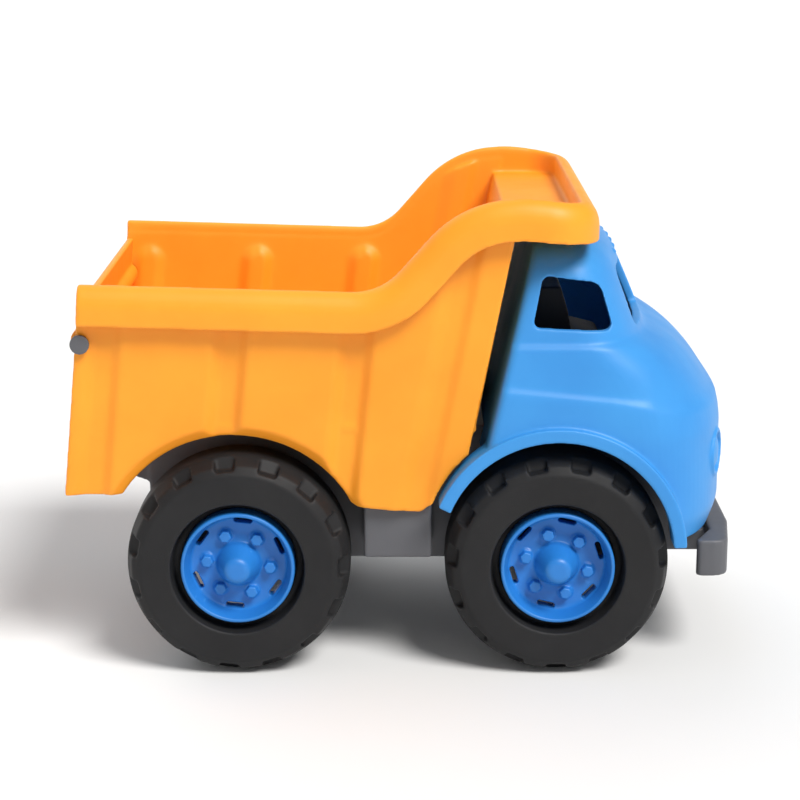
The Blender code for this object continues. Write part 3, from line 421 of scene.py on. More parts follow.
def node_copy(node):
    """A free copy of a CAD node's mesh, which sits in the row frame."""
    copy = bpy.data.objects.new(node, frame["nodes"][node].data.copy())
    bpy.context.scene.collection.objects.link(copy)
    work = bmesh.new()
    work.from_mesh(copy.data)
    bmesh.ops.remove_doubles(work, verts=work.verts, dist=1e-6)
    work.to_mesh(copy.data)
    work.free()
    return copy


def ease(t):
    """A smooth step from 0 to 1."""
    t = np.clip(t, 0.0, 1.0)
    return t * t * (3.0 - 2.0 * t)


# ---- Materials -----------------------------------------------------------------------------
class Shader:
    """A Principled material with a short way to add and link nodes."""

    def __init__(self, name):
        self.material = bpy.data.materials.new(name)
        self.material.use_nodes = True
        self.tree = self.material.node_tree
        self.surface = self.tree.nodes["Principled BSDF"]
        self.place = self.tree.nodes.new("ShaderNodeTexCoord").outputs["Object"]

    def node(self, kind, links=(), **settings):
        made = self.tree.nodes.new(kind)
        for name, value in settings.items():
            if hasattr(made, name):
                setattr(made, name, value)
            else:
                made.inputs[name.replace("_", " ")].default_value = value
        for socket, source in links:
            self.tree.links.new(source, made.inputs[socket])
        return made

    def noise(self, scale, detail=3.0, roughness=0.55):
        links = [("Vector", self.place)]
        made = self.node("ShaderNodeTexNoise", links, Scale=scale, Detail=detail, Roughness=roughness)
        return made.outputs["Fac"]

    def ramp(self, source, low, high, start=0.3, stop=0.7):
        """Spreads a noise over a range of values."""
        made = self.node("ShaderNodeMapRange", [("Value", source)], From_Min=start, From_Max=stop)
        made.inputs["To Min"].default_value = low
        made.inputs["To Max"].default_value = high
        return made.outputs["Result"]

    def mix(self, factor, first, second):
        made = self.node("ShaderNodeMix", data_type="RGBA")
        self.tree.links.new(factor, made.inputs["Factor"])
        for socket, value in ((made.inputs[6], first), (made.inputs[7], second)):
            if isinstance(value, tuple):
                socket.default_value = (*value, 1.0)
            else:
                self.tree.links.new(value, socket)
        return made.outputs[2]

    def bump(self, height, strength, distance, below=None):
        links = [("Height", height)]
        if below:
            links.append(("Normal", below))
        made = self.node("ShaderNodeBump", links, Strength=strength, Distance=distance)
        return made.outputs["Normal"]

    def link(self, source, socket):
        self.tree.links.new(source, self.surface.inputs[socket])


def plastic(name, colour, deep, painted_edge_highlight, roughness, grain, specular=0.42):
    """Moulded plastic: clouded colour, a painted highlight that makes convex edges paler, an uneven sheen
    and a fine spark-eroded grain.
    """
    s = Shader(name)
    clouds = s.ramp(s.noise(34.0, 4.0), 0.0, 1.0)
    specks = s.ramp(s.noise(1500.0, 2.0), 0.0, 1.0, 0.60, 0.78)
    base = s.mix(clouds, colour, deep)
    flecked = s.mix(s.ramp(specks, 0.0, 0.22, 0.0, 1.0), base, deep)
    # Painted highlight: convex edges are mixed towards a paler colour, as if they caught the light.
    edge = s.node("ShaderNodeNewGeometry").outputs["Pointiness"]
    edges = s.ramp(edge, 0.0, 0.45, 0.52, 0.60)
    s.link(s.mix(edges, flecked, painted_edge_highlight), "Base Color")
    uneven = s.noise(60.0, 5.0, 0.6)
    s.link(s.ramp(uneven, roughness - 0.05, roughness + 0.06), "Roughness")
    swirl = s.bump(s.noise(70.0, 2.0), 0.10, 0.0006)
    fine = s.bump(s.noise(2600.0, 2.0), grain, 0.00006, swirl)
    s.link(fine, "Normal")
    s.surface.inputs["IOR"].default_value = 1.50
    s.surface.inputs["Specular IOR Level"].default_value = specular
    return s.material


def steel(name):
    """Zinc-plated screw steel, with turned streaks."""
    s = Shader(name)
    tone = s.ramp(s.noise(900.0, 3.0), 0.0, 1.0)
    s.link(s.mix(tone, (0.52, 0.52, 0.50), (0.38, 0.38, 0.39)), "Base Color")
    s.link(s.ramp(s.noise(1400.0, 3.0), 0.26, 0.42), "Roughness")
    s.link(s.bump(s.noise(3000.0, 2.0), 0.2, 0.00005), "Normal")
    s.surface.inputs["Metallic"].default_value = 1.0
    return s.material


def floor_paint(name):
    s = Shader(name)
    tone = s.ramp(s.noise(3.0, 2.0), 0.0, 1.0)
    s.link(s.mix(tone, (0.80, 0.80, 0.80), (0.82, 0.82, 0.82)), "Base Color")
    s.surface.inputs["Roughness"].default_value = 0.7
    return s.material


# The third colour of each plastic is the painted highlight on its convex edges.
ORANGE = plastic(
    "orange_plastic", (0.955, 0.345, 0.018), (0.930, 0.310, 0.014), (1.0, 0.45, 0.06), 0.50, 0.25
)
BLUE = plastic(
    "blue_plastic", (0.040, 0.275, 0.660), (0.034, 0.245, 0.620), (0.09, 0.37, 0.76), 0.46, 0.22
)
# The hubs' material is the cab's blue plastic painted darker and deeper: painted shade.
HUB_SHADED_BLUE = plastic(
    "hub_blue_painted_shade", (0.020, 0.190, 0.560), (0.016, 0.165, 0.520), (0.06, 0.29, 0.70), 0.40, 0.2
)
CHARCOAL = plastic(
    "charcoal_plastic", (0.017, 0.017, 0.018), (0.013, 0.013, 0.014), (0.045, 0.045, 0.048), 0.58, 0.8, 0.24
)
GREY = plastic(
    "grey_plastic", (0.105, 0.107, 0.118), (0.088, 0.090, 0.100), (0.19, 0.19, 0.21), 0.48, 0.3
)
STEEL = steel("screw_steel")


# ---- Bed -----------------------------------------------------------------------------------
def bed_half_width(z):
    return BED_HALF_WIDTH + (z - RIM_TOP_Z) * math.tan(BED_DRAFT)


def bed_front_x(z):
    return BED_FRONT_X + (z - BED_FRONT_Z) * math.tan(BED_FRONT_LEAN)


def bed_rear_x(z):
    return BED_REAR_X + (z - BED_REAR_Z) * math.tan(BED_REAR_LEAN)


def rim_path():
    """The rim's top line on one side in XZ, from the rear to the front of the canopy."""
    return rounded(
        [
            (bed_rear_x(RIM_REAR_Z), RIM_REAR_Z, 0.0),
            (RIM_LOW_X, RIM_LOW_Z, 0.0236),
            (RIM_RISE_X, RIM_RISE_Z, 0.0440),
            (RIM_TOP_X, RIM_TOP_Z, 0.0600),
            (RIM_NOSE_X - RIM_CORNER, RIM_NOSE_Z + RIM_CORNER * RIM_NOSE_FALL, 0.0),
        ]
    )


def rim_section():
    """The rolled rim across its path: (outward, up) from the rim's top line."""
    wall_out = BED_WALL / 2
    out = wall_out + RIM_OVERHANG
    turn = [math.pi / 2 * step / 14 for step in range(15)]
    crown = [(-RIM_RIDGE + (out + RIM_RIDGE) * math.cos(a), RIM_CROWN * (math.sin(a) - 1.0)) for a in turn]
    inner = arc((0.0, 0.0), 1.0, math.pi / 2, math.pi, 6)
    wide, high = wall_out - RIM_RIDGE, RIM_INNER_ROUND
    back = [(-RIM_RIDGE + u * wide, -high + v * high) for u, v in inner]
    return (
        [(out - RIM_SKIN, -RIM_HEIGHT), (out, -RIM_HEIGHT)]
        + crown
        + back[1:]
        + [
            (-wall_out, -RIM_WALL_LAP),
            (wall_out, -RIM_WALL_LAP),
            (wall_out, -RIM_ROOF),
            (out - RIM_SKIN - RIM_FILLET, -RIM_FILLET_DROP[0]),
            (out - RIM_SKIN, -RIM_FILLET_DROP[1]),
        ]
    )


def rim_line():
    """The rim's whole top line round the bed, as 3-D points from the right rear to the left rear."""
    side = [Vector((x, BED_WALL / 2 - bed_half_width(z), z)) for x, z in rim_path()]
    bend = RIM_CORNER
    inset = side[-1].y
    corner = [
        Vector((side[-1].x + bend * math.sin(a), inset + bend * (1 - math.cos(a)), side[-1].z))
        for a in (math.radians(6.0 * step) for step in range(1, 16))
    ]
    fall = side[-1].z - RIM_NOSE_Z
    for point in corner:
        point.z -= fall * (point.x - side[-1].x) / bend
    right = side + corner
    return right + [Vector((p.x, -p.y, p.z)) for p in reversed(right)]


def make_rim():
    """Sweeps the rim's section along its line, square to it and level across."""
    line = rim_line()
    section = rim_section()
    rings = []
    for index, point in enumerate(line):
        back = line[max(index - 1, 0)]
        ahead = line[min(index + 1, len(line) - 1)]
        along = ((point - back).normalized() + (ahead - point).normalized()).normalized()
        out = Vector((along.y, -along.x, 0.0)).normalized()
        up = out.cross(along).normalized()
        rings.append([point + out * u + up * v for u, v in section])
    return loft("rim", rings)


def groove_depth(x, z, centre, lean, depth, rear_ramp, front_ramp):
    """A groove that leans, with a broad rear flank, a steeper front flank and a round top end."""
    middle = centre + (z - GROOVE_Z) * math.tan(lean)
    over = np.maximum(z - (GROOVE_TOP_Z - GROOVE_HALF_WIDTH), 0.0)
    reach = np.hypot(x - middle, over) / GROOVE_HALF_WIDTH
    ramp = np.where(x < middle, rear_ramp, front_ramp)
    return depth * ease((1.0 - reach) / ramp)


def wall_relief(x, z):
    """How far the side wall lies inside its plain face at (x, z)."""
    relief = np.zeros_like(x)
    for centre, depth in zip(GROOVE_X, GROOVE_DEPTH):
        relief = np.maximum(relief, groove_depth(x, z, centre, GROOVE_LEAN, depth, *GROOVE_FLANKS))
    low = np.minimum(z, GROOVE_Z)
    front_x = FRONT_GROOVE_X + (z - low) * math.tan(BED_FRONT_LEAN)
    front = groove_depth(x, low, front_x, BED_FRONT_LEAN, FRONT_GROOVE_DEPTH, *FRONT_GROOVE_FLANKS)
    relief = np.maximum(relief, front)
    above = np.hypot(x - ARCH_X, z - AXLE_Z) - ARCH_RADIUS
    lip = ARCH_LIP_DEPTH * np.clip(1.0 - above / ARCH_LIP_HEIGHT, 0.0, 1.3)
    return np.maximum(relief, lip)


def wall_slab(name):
    """The right side wall's skin, larger than the wall that is cut from it, on a fine grid."""
    xs = np.arange(BED_REAR_X - 0.008, RIM_TOP_X, WALL_GRID)
    zs = np.arange(BED_SKIRT_Z - 0.006, RIM_TOP_Z + 0.003, WALL_GRID)
    x, z = np.meshgrid(xs, zs)
    outer = wall_relief(x, z) - bed_half_width(z)
    rows, columns = x.shape
    points = np.concatenate(
        [np.stack([x, y, z], -1).reshape(-1, 3) for y in (outer, outer + BED_WALL)]
    ).tolist()
    count = rows * columns
    faces = []
    for row in range(rows - 1):
        for column in range(columns - 1):
            a = row * columns + column
            quad = (a, a + 1, a + columns + 1, a + columns)
            faces.append(quad)
            faces.append(tuple(count + corner for corner in reversed(quad)))
    border = list(range(columns))
    border += [row * columns + columns - 1 for row in range(1, rows)]
    border += [(rows - 1) * columns + column for column in range(columns - 2, -1, -1)]
    border += [row * columns for row in range(rows - 2, 0, -1)]
    for here, after in zip(border, border[1:] + border[:1]):
        faces.append((here, count + here, count + after, after))
    return solid(name, points, faces)


def wall_outline():
    """The side wall's outline in XZ: its edge runs inside the rim and over the rear wheel."""
    rear_angle = math.pi - math.asin((BED_REAR_Z - AXLE_Z) / ARCH_RADIUS)
    front_angle = math.asin((SKIRT_END_Z - AXLE_Z) / ARCH_RADIUS)
    fender = FENDER_RADIUS + FENDER_BAND + FENDER_CLEARANCE
    top_angle = math.pi - math.asin((BED_FRONT_Z - FENDER_Z) / fender)
    low_angle = math.pi - math.asin((SKIRT_END_Z - FENDER_Z) / fender)
    edge = [(x, z - RIM_EDGE_DROP) for x, z in rim_path()]
    front_top = [point for point in edge if point[0] < bed_front_x(point[1]) - 0.0015]
    outline = [(BED_REAR_X, BED_REAR_Z)]
    outline += arc((ARCH_X, AXLE_Z), ARCH_RADIUS, rear_angle, front_angle, 72)
    front = arc((FENDER_X, FENDER_Z), fender, low_angle, top_angle, 14)
    outline.append((outline[-1][0] + SKIRT_CORNER, BED_SKIRT_Z + SKIRT_CORNER))
    outline.append((front[0][0] - 2 * SKIRT_CORNER, BED_SKIRT_Z))
    outline += front
    outline.append((bed_front_x(front_top[-1][1]), front_top[-1][1]))
    outline += reversed(front_top)
    return outline


def make_bed_wall():
    wall = wall_slab("wall")
    clip = side_prism("clip", wall_outline(), -BED_HALF_WIDTH - 0.01, -BED_HALF_WIDTH / 2)
    return combined(wall, "INTERSECT", clip)


def cross_plate(name, outline):
    """A plate across the bed. Its ends lie inside both side walls, panels and grooves alike."""
    inset = (BED_WALL + GROOVE_DEPTH[0]) / 2
    rings = []
    for side in (-1.0, 1.0):
        rings.append([(x, side * (bed_half_width(z) - inset), z) for x, z in outline])
    return loft(name, rings)


def make_bed_plates():
    """The floor, the front wall and the tray over the cab."""
    top = BED_FLOOR_Z
    low = top - BED_WALL
    rear = bed_rear_x(GATE_LOW.z) + GATE_WALL + 0.0020
    front = bed_front_x(top)
    floor = cross_plate("floor", [(rear, low), (front, low), (front, top), (rear, top)])
    tray = RIM_NOSE_Z - CANOPY_DROP
    high = tray - BED_WALL / 2
    front_wall = cross_plate(
        "front_wall",
        [
            (bed_front_x(low) - BED_WALL, low),
            (bed_front_x(low), low),
            (bed_front_x(high), high),
            (bed_front_x(high) - BED_WALL, high),
        ],
    )
    back = bed_front_x(tray) - BED_WALL
    half = bed_half_width(tray) - BED_WALL / 2
    outline = rounded(
        [
            (back, -half, 0.0),
            (RIM_NOSE_X, -half, RIM_CORNER),
            (RIM_NOSE_X, half, RIM_CORNER),
            (back, half, 0.0),
        ]
    )
    return floor, front_wall, plan_prism("canopy", outline, tray - BED_WALL, tray)


def make_bed_lug():
    outline = arc((HINGE_X, HINGE_Z), HINGE_EYE, math.pi, math.tau, 30)
    outline.append((HINGE_X + HINGE_EYE + 0.006, BED_FLOOR_Z - BED_WALL / 2))
    outline.append((HINGE_X - HINGE_EYE, BED_FLOOR_Z - BED_WALL / 2))
    return side_prism("lug", outline, -LUG_OUTER_Y, LUG_WIDTH - LUG_OUTER_Y)


def make_bed():
    bed = make_bed_wall()
    combined(bed, "UNION", *make_bed_plates())
    combined(bed, "UNION", mirrored(make_bed_wall()), make_rim(), make_bed_lug(), mirrored(make_bed_lug()))
    combined(bed, "DIFFERENCE", cylinder_y("bore", HINGE_X, HINGE_Z, HINGE_BORE, -0.06, 0.06))
    combined(bed, "DIFFERENCE", cylinder_y("bore", GATE_HINGE_X, GATE_HINGE_Z, GATE_BORE, -0.1, 0.1))
    moulded(bed, "bed")
    return stands_for(bed, "bed", ORANGE)


# ---- Tailgate ------------------------------------------------------------------------------
def gate_half_width(z):
    return bed_half_width(z) - BED_WALL - GATE_SIDE_GAP


def gate_slab(name, outline, near, far):
    """An outline in YZ, thickened between two offsets from the bed's leaning rear plane."""
    rings = []
    for offset in (near, far):
        rings.append([(bed_rear_x(z) + offset, y, z) for y, z in outline])
    return loft(name, rings)


def make_tailgate():
    """A plate with three sunk panels, on a knuckle along its hinge line."""
    reach = GATE_HIGH.y
    top = min(reach, gate_half_width(GATE_HINGE_Z) - 0.0020)
    step_z = GATE_HINGE_Z - GATE_KNUCKLE
    right = [
        (gate_half_width(GATE_LOW.z), GATE_LOW.z),
        (gate_half_width(step_z), step_z),
        (top, step_z),
        (top, GATE_HIGH.z),
    ]
    outline = [(-y, z) for y, z in right] + list(reversed(right))
    gate = gate_slab("gate", outline, GATE_GAP, GATE_GAP + GATE_WALL)
    combined(gate, "UNION", cylinder_y("knuckle", GATE_HINGE_X, GATE_HINGE_Z, GATE_KNUCKLE, -top, top))
    foot = GATE_LOW.z + GATE_PANEL_FOOT
    head = step_z - GATE_PANEL_HEAD
    for middle in GATE_PANEL_Y:
        near, far = middle - GATE_PANEL_HALF_WIDTH, middle + GATE_PANEL_HALF_WIDTH
        corners = ((near, foot), (far, foot), (far, head), (near, head))
        panel = rounded([(*corner, GATE_PANEL_ROUND) for corner in corners], 8)
        sunk = gate_slab("panel", panel, -0.0100, GATE_GAP + GATE_PANEL_DEPTH)
        combined(gate, "DIFFERENCE", sunk)
    for ends in ((top - GATE_PIN_DEPTH, top + 0.01), (-top - 0.01, GATE_PIN_DEPTH - top)):
        combined(gate, "DIFFERENCE", cylinder_y("bore", GATE_HINGE_X, GATE_HINGE_Z, GATE_BORE, *ends))
    moulded(gate, "tailgate")
    return stands_for(gate, "tailgate", ORANGE)


# ---- Cab -----------------------------------------------------------------------------------
def cab_rear_x(z):
    return CAB_REAR_X + (z - CAB_REAR_Z) * math.tan(CAB_REAR_LEAN)


def cab_levels():
    """The cab's plan at each height: (z, front x, where the nose starts to round, half width)."""
    lower = [
        (CAB_BOTTOM_Z, 0.1275, 0.0860, 0.0795),
        (CAB_BOTTOM_Z + 0.0110, 0.1309, 0.0860, 0.0807),
        (CAB_BELT_Z - 0.0382, 0.1308, 0.0840, 0.0806),
        (CREASE_Z - 0.0030, 0.1292, 0.0820, 0.0798),
        (CREASE_Z - 0.0012, 0.1281, 0.0815, 0.0794),
        (CREASE_Z + 0.0010, 0.1266, 0.0805, 0.0781),
        (CREASE_Z + 0.0030, 0.1252, 0.0795, 0.0777),
        (CAB_BELT_Z - 0.0157, 0.1208, 0.0770, 0.0771),
        (CAB_BELT_Z - 0.0082, 0.1130, 0.0730, 0.0765),
        (CAB_BELT_Z - 0.0027, 0.1046, 0.0700, 0.0758),
        (CAB_BELT_Z - 0.0006, 0.1003, 0.0692, 0.0753),
        (CAB_BELT_Z + 0.0010, 0.0984, 0.0675, 0.0738),
    ]
    upper = [
        (CAB_BELT_Z + 0.0040, 0.0972, 0.0246, 0.0733),
        (CAB_TOP_Z - 0.0194, 0.0908, 0.0182, 0.0714),
        (CAB_TOP_Z - 0.0104, 0.0866, 0.0147, 0.0688),
        (CAB_TOP_Z - 0.0060, 0.0838, 0.0124, 0.0658),
        (CAB_TOP_Z - 0.0030, 0.0805, 0.0102, 0.0618),
        (CAB_TOP_Z - 0.0010, 0.0755, 0.0080, 0.0566),
        (CAB_TOP_Z, 0.0700, 0.0058, 0.0500),
    ]
    return lower + [(z, front, cab_rear_x(z) + side, half) for z, front, side, half in upper]


def gentle(at, places, values):
    """A smooth curve through (places, values), which never overshoots them."""
    places = np.asarray(places)
    values = np.asarray(values)
    width = np.diff(places)
    slope = np.diff(values) / width
    lean = np.zeros_like(values)
    same = slope[:-1] * slope[1:] > 0
    total = np.where(same, slope[:-1] + slope[1:], 1.0)
    lean[1:-1] = np.where(same, 2.0 * slope[:-1] * slope[1:] / total, 0.0)
    lean[0], lean[-1] = slope[0], slope[-1]
    index = int(np.clip(np.searchsorted(places, at) - 1, 0, len(width) - 1))
    t = (at - places[index]) / width[index]
    rise = values[index + 1] - values[index]
    bend = width[index]
    return float(
        values[index]
        + rise * t * t * (3 - 2 * t)
        + bend * t * (1 - t) * (lean[index] * (1 - t) - lean[index + 1] * t)
    )


def cab_plan(z):
    """(front x, where the nose starts to round, half width) at height z."""
    levels = cab_levels()
    places = [level[0] for level in levels]
    return [gentle(z, places, [level[index] for level in levels]) for index in (1, 2, 3)]


def crease_lift(x, z):
    """How much higher the lower crease runs towards the rear."""
    near = ease(1.0 - abs(z - CREASE_Z) / CREASE_REACH)
    return float(near * np.interp(x, CREASE_X, CREASE_LIFT))


def cab_ring(z, inset=0.0, steps=26):
    """One level of the cab: a straight rear with rounded corners, straight sides and a round nose."""
    front, straight, half = cab_plan(z)
    front -= inset
    half -= inset
    rear = cab_rear_x(z) + inset
    turn = CAB_REAR_ROUND - inset / 3
    power = 2 / NOSE_POWER
    right = [(rear, 0.0), (rear, -half / 2)]
    right += arc((rear + turn, turn - half), turn, math.pi, math.pi * 1.5, 8)
    for step in range(steps + 1):
        angle = math.pi / 2 * (1 - step / steps)
        reach = math.cos(angle) ** power
        across = math.sin(angle) ** power
        right.append((straight + (front - straight) * reach, -half * across))
    left = [(x, -y) for x, y in reversed(right[1:-1])]
    ring = []
    for x, y in right + left:
        lift = crease_lift(x, z)
        behind = min(max((straight - x) / (straight - rear), 0.0), 1.0)
        ring.append((x + lift * behind * math.tan(CAB_REAR_LEAN), y, z + lift))
    return ring


def cab_front_x(y, z):
    """Where the nose's surface lies at (y, z)."""
    front, straight, half = cab_plan(z)
    across = min(abs(y) / half, 1.0)
    return straight + (front - straight) * (1 - across**NOSE_POWER) ** (1 / NOSE_POWER)


def cab_hull(name, inset=0.0, sink=0.0, foot=0.0):
    """The cab's skin as a closed solid. The hollow's is inset, sunk, and runs out below by foot."""
    steps = 110
    span = CAB_TOP_Z - CAB_BOTTOM_Z
    heights = [CAB_BOTTOM_Z + span * step / steps for step in range(steps + 1)]
    rings = [[(x, y, h - sink) for x, y, h in cab_ring(z, inset)] for z in heights]
    if foot:
        rings.insert(0, [(x, y, CAB_BOTTOM_Z - foot) for x, y, _h in rings[0]])
    return loft(name, rings)


def window_outline():
    return rounded(
        [
            (0.0498, CAB_BELT_Z + 0.0070, 0.0025),
            (0.0813, CAB_BELT_Z + 0.0054, 0.0025),
            (0.0758, CAB_TOP_Z - 0.0144, 0.0070),
            (0.0537, CAB_TOP_Z - 0.0114, 0.0030),
        ],
        10,
    )


def windscreen_pane():
    """The outline of the left pane of the windscreen, which a post divides in two."""
    post = SCREEN_POST / 2
    sill = CAB_BELT_Z + 0.0040
    header = CAB_TOP_Z - 0.0124
    return rounded(
        [
            (post, sill, 0.0020),
            (0.0520, sill, 0.0030),
            (0.0480, header, 0.0060),
            (post, header, 0.0020),
        ],
        10,
    )


def fender_band():
    """The band round the right wheel arch, which runs past the cab's rear edge."""
    low = FENDER_RADIUS
    front = math.asin((CAB_BOTTOM_Z - FENDER_Z) / low)
    rear = math.radians(158.0)
    outline = arc((FENDER_X, FENDER_Z), low, front, rear, 72)
    outline += arc((FENDER_X, FENDER_Z), low + FENDER_BAND, rear - 0.01, front, 72)
    return side_prism("band", outline, -FENDER_HALF_WIDTH, FENDER_DEPTH - FENDER_HALF_WIDTH)


def add_nose_face(cab):
    """Sunk grille bars, and two round headlights that sit square on the nose's curve."""
    across = [GRILLE_HALF_WIDTH * step / 16 for step in range(-16, 17)]
    for row in range(GRILLE_BARS):
        z = GRILLE_Z + GRILLE_PITCH * row
        curve = [(cab_front_x(y, z) - GRILLE_DEPTH, y) for y in across]
        outline = curve + [(x + 0.01, y) for x, y in reversed(curve)]
        combined(cab, "DIFFERENCE", plan_prism("bar", outline, z, z + GRILLE_BAR))
    lens = HEADLIGHT_RADIUS - 0.0022
    inner, middle, outer = (cab_front_x(HEADLIGHT_Y + step, HEADLIGHT_Z) for step in (-0.002, 0.0, 0.002))
    slope = (outer - inner) / 0.004
    last = math.tau * (HEADLIGHT_SIDES - 1) / HEADLIGHT_SIDES
    for side in (-1.0, 1.0):
        face = Matrix.Translation((middle, side * HEADLIGHT_Y, HEADLIGHT_Z))
        face = face @ Matrix.Rotation(side * math.atan(-slope), 4, "Z")
        rim, edge = (
            arc((0, 0), radius, 0.0, last, HEADLIGHT_SIDES - 1)
            for radius in (HEADLIGHT_RADIUS, HEADLIGHT_RADIUS - HEADLIGHT_LIP)
        )
        ring = front_prism("ring", rim, -0.0040, 0.0009)
        well = front_prism("well", edge, -0.0012, 0.02)
        glass = dome("glass", (-0.0016, 0.0, 0.0), (0.0026, lens, lens))
        for piece, operation in ((ring, "UNION"), (well, "DIFFERENCE"), (glass, "UNION")):
            piece.data.transform(face)
            combined(cab, operation, piece)


def boss_places():
    """The cab's four screw bosses, as (x, y, top z), from the screws' own nodes."""
    places = []
    for number in range(1, 5):
        low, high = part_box(f"cab_screw_{number}")
        x = (low.x + high.x) / 2
        top = DECK_Z + 0.0185 if x < BOSS_SPLIT_X else CAB_BELT_Z
        places.append((x, (low.y + high.y) / 2, top))
    return places


def make_cab():
    cab = cab_hull("cab")
    combined(cab, "DIFFERENCE", cab_hull("hollow", CAB_WALL, CAB_WALL / 2, 0.01))
    for x, y, top in boss_places():
        boss = cylinder_z("boss", x, y, BOSS_RADIUS, DECK_Z + DECK_GAP, top)
        combined(boss, "INTERSECT", cab_hull("hull", CAB_WALL / 2, CAB_WALL / 2))
        combined(cab, "UNION", boss)
    reach = FENDER_HALF_WIDTH + 0.02
    add_nose_face(cab)
    combined(cab, "DIFFERENCE", side_prism("window", window_outline(), -reach, reach))
    for side in (-1.0, 1.0):
        pane = [(side * y, z) for y, z in windscreen_pane()]
        combined(cab, "DIFFERENCE", front_prism("pane", pane, SCREEN_CUT_X, 0.14))
        ends = sorted((side * FRAME_HALF_WIDTH, side * reach))
        combined(cab, "DIFFERENCE", cylinder_y("arch", FENDER_X, FENDER_Z, FENDER_RADIUS, *ends, 160))
    combined(cab, "UNION", fender_band(), mirrored(fender_band()))
    side = FRAME_HALF_WIDTH + FRAME_GAP
    tunnel = block("tunnel", (0.0, -side, 0.0), (FRAME_FRONT_X + FRAME_GAP, side, DECK_Z + DECK_GAP))
    combined(cab, "DIFFERENCE", tunnel)
    for x, y, _top in boss_places():
        combined(cab, "DIFFERENCE", cylinder_z("bore", x, y, SCREW_BORE, 0.0, DECK_Z + SCREW_REACH))
    z = CAB_TOP_Z - ROOF_LIGHT_DROP
    for y in ROOF_LIGHT_Y:
        combined(cab, "UNION", dome("marker", (cab_front_x(y, z) - 0.0004, y, z), ROOF_LIGHT_RADII))
    moulded(cab, "cab")
    return stands_for(cab, "cab", BLUE)


# ---- Wheels --------------------------------------------------------------------------------
def tyre_section():
    """The tyre's section as (radius, y), y outward: a flat side disc, a soft shoulder, a broad tread."""
    half = TYRE_WIDTH / 2
    crown = TYRE_RADIUS
    recess = half / 2
    shoulder = rounded(
        [
            (0.0262, half, 0.0006),
            (crown - 0.0062, half, 0.0008),
            (crown - 0.0026, half - 0.0022, 0.0024),
            (crown, half - 0.0100, 0.0060),
            (crown, 0.0100 - half, 0.0060),
            (crown - 0.0026, 0.0022 - half, 0.0024),
            (crown - 0.0062, -half, 0.0008),
            (crown - TYRE_BAND, -half, 0.0),
        ],
        6,
    )
    inside = crown - TYRE_BAND
    return (
        [(0.0228, recess), (0.0252, recess), (0.0257, recess + 0.0006)]
        + shoulder
        + [
            (inside, half - 0.0045),
            (0.0280, half - 0.0045),
            (0.0280, recess - 0.0030),
            (0.0228, recess - 0.0030),
        ]
    )


def tread_pocket(angle, side):
    """A tapered cutter for one pocket of the tread, at one shoulder of the tyre."""
    half = TYRE_WIDTH / 2
    rings = []
    for radius, width, back in POCKET_RINGS:
        corners = [(-width, half - back, 0.0010), (width, half - back, 0.0010)]
        outline = rounded([*corners, (width, half + 0.004, 0.0), (-width, half + 0.004, 0.0)], 4)
        rings.append([(t, side * y, radius) for t, y in outline])
    pocket = loft("pocket", rings)
    pocket.data.transform(Matrix.Rotation(math.pi / 2 - angle, 4, "Y"))
    return pocket


def make_tyre_shape():
    tyre = turned("tyre", tyre_section(), TYRE_COLUMNS)
    pitch = math.tau / TREAD_POCKETS
    for step in range(TREAD_POCKETS):
        angle = pitch * (step + 0.5) - math.pi / 2
        combined(tyre, "DIFFERENCE", tread_pocket(angle, 1.0), tread_pocket(angle + pitch / 2, -1.0))
    return moulded(tyre, "tyre")


def hub_section():
    """The hub's section from the tip of its cone to its blind bore, as (radius, y)."""
    rim = HUB_RADIUS
    face = HUB_FACE_Y
    tip = TYRE_WIDTH / 2 + 0.0024
    back = TYRE_WIDTH / 4 - 0.0033
    sleeve_end = FRAME_HALF_WIDTH + 0.0006 - TRACK / 2
    front = rounded(
        [
            (0.0, tip, 0.0),
            (0.0048, tip, 0.0030),
            (0.0088, face + 0.0010, 0.0016),
            (0.0125, face, 0.0060),
            (rim - 0.0034, face + 0.0008, 0.0020),
            (rim - 0.0017, HUB_LIP_Y - 0.0010, 0.0),
            (rim - 0.0013, HUB_LIP_Y, 0.0004),
            (rim, HUB_LIP_Y - 0.0002, 0.0007),
            (rim, back, 0.0),
        ],
        6,
    )
    return front + [
        (rim + HUB_FLANGE[0], back),
        (rim + HUB_FLANGE[0], back - HUB_FLANGE[1]),
        (HUB_SLEEVE, back - HUB_FLANGE[1]),
        (HUB_SLEEVE, sleeve_end),
        (HUB_BORE, sleeve_end),
        (HUB_BORE, TYRE_WIDTH / 2 * 0.66),
        (0.0, TYRE_WIDTH / 2 * 0.66),
    ]


def make_hub_shape():
    hub = turned("hub", hub_section(), HUB_COLUMNS)
    face = HUB_FACE_Y
    for step in range(LUG_NUTS):
        angle = math.tau * step / LUG_NUTS
        nut = cylinder_y("nut", LUG_CIRCLE, 0.0, NUT_RADIUS, face - 0.001, face + NUT_HEIGHT, 6)
        radius, height = NUT_COLLAR
        collar = cylinder_y("collar", LUG_CIRCLE, 0.0, radius, face - 0.001, face + height, 30)
        combined(nut, "UNION", collar)
        nut.data.transform(Matrix.Rotation(-angle, 4, "Y"))
        combined(hub, "UNION", nut)
        u, v = SLOT_HALF
        corners = ((-u, -v), (u, -v), (u, v), (-u, v))
        ends = [(SLOT_CIRCLE + across, along, 0.0009) for across, along in corners]
        slot = side_prism("slot", rounded(ends, 5), face - 0.0070, face + 0.006)
        slot.data.transform(Matrix.Rotation(-angle - math.pi / LUG_NUTS, 4, "Y"))
        combined(hub, "DIFFERENCE", slot)
    return moulded(hub, "hub")


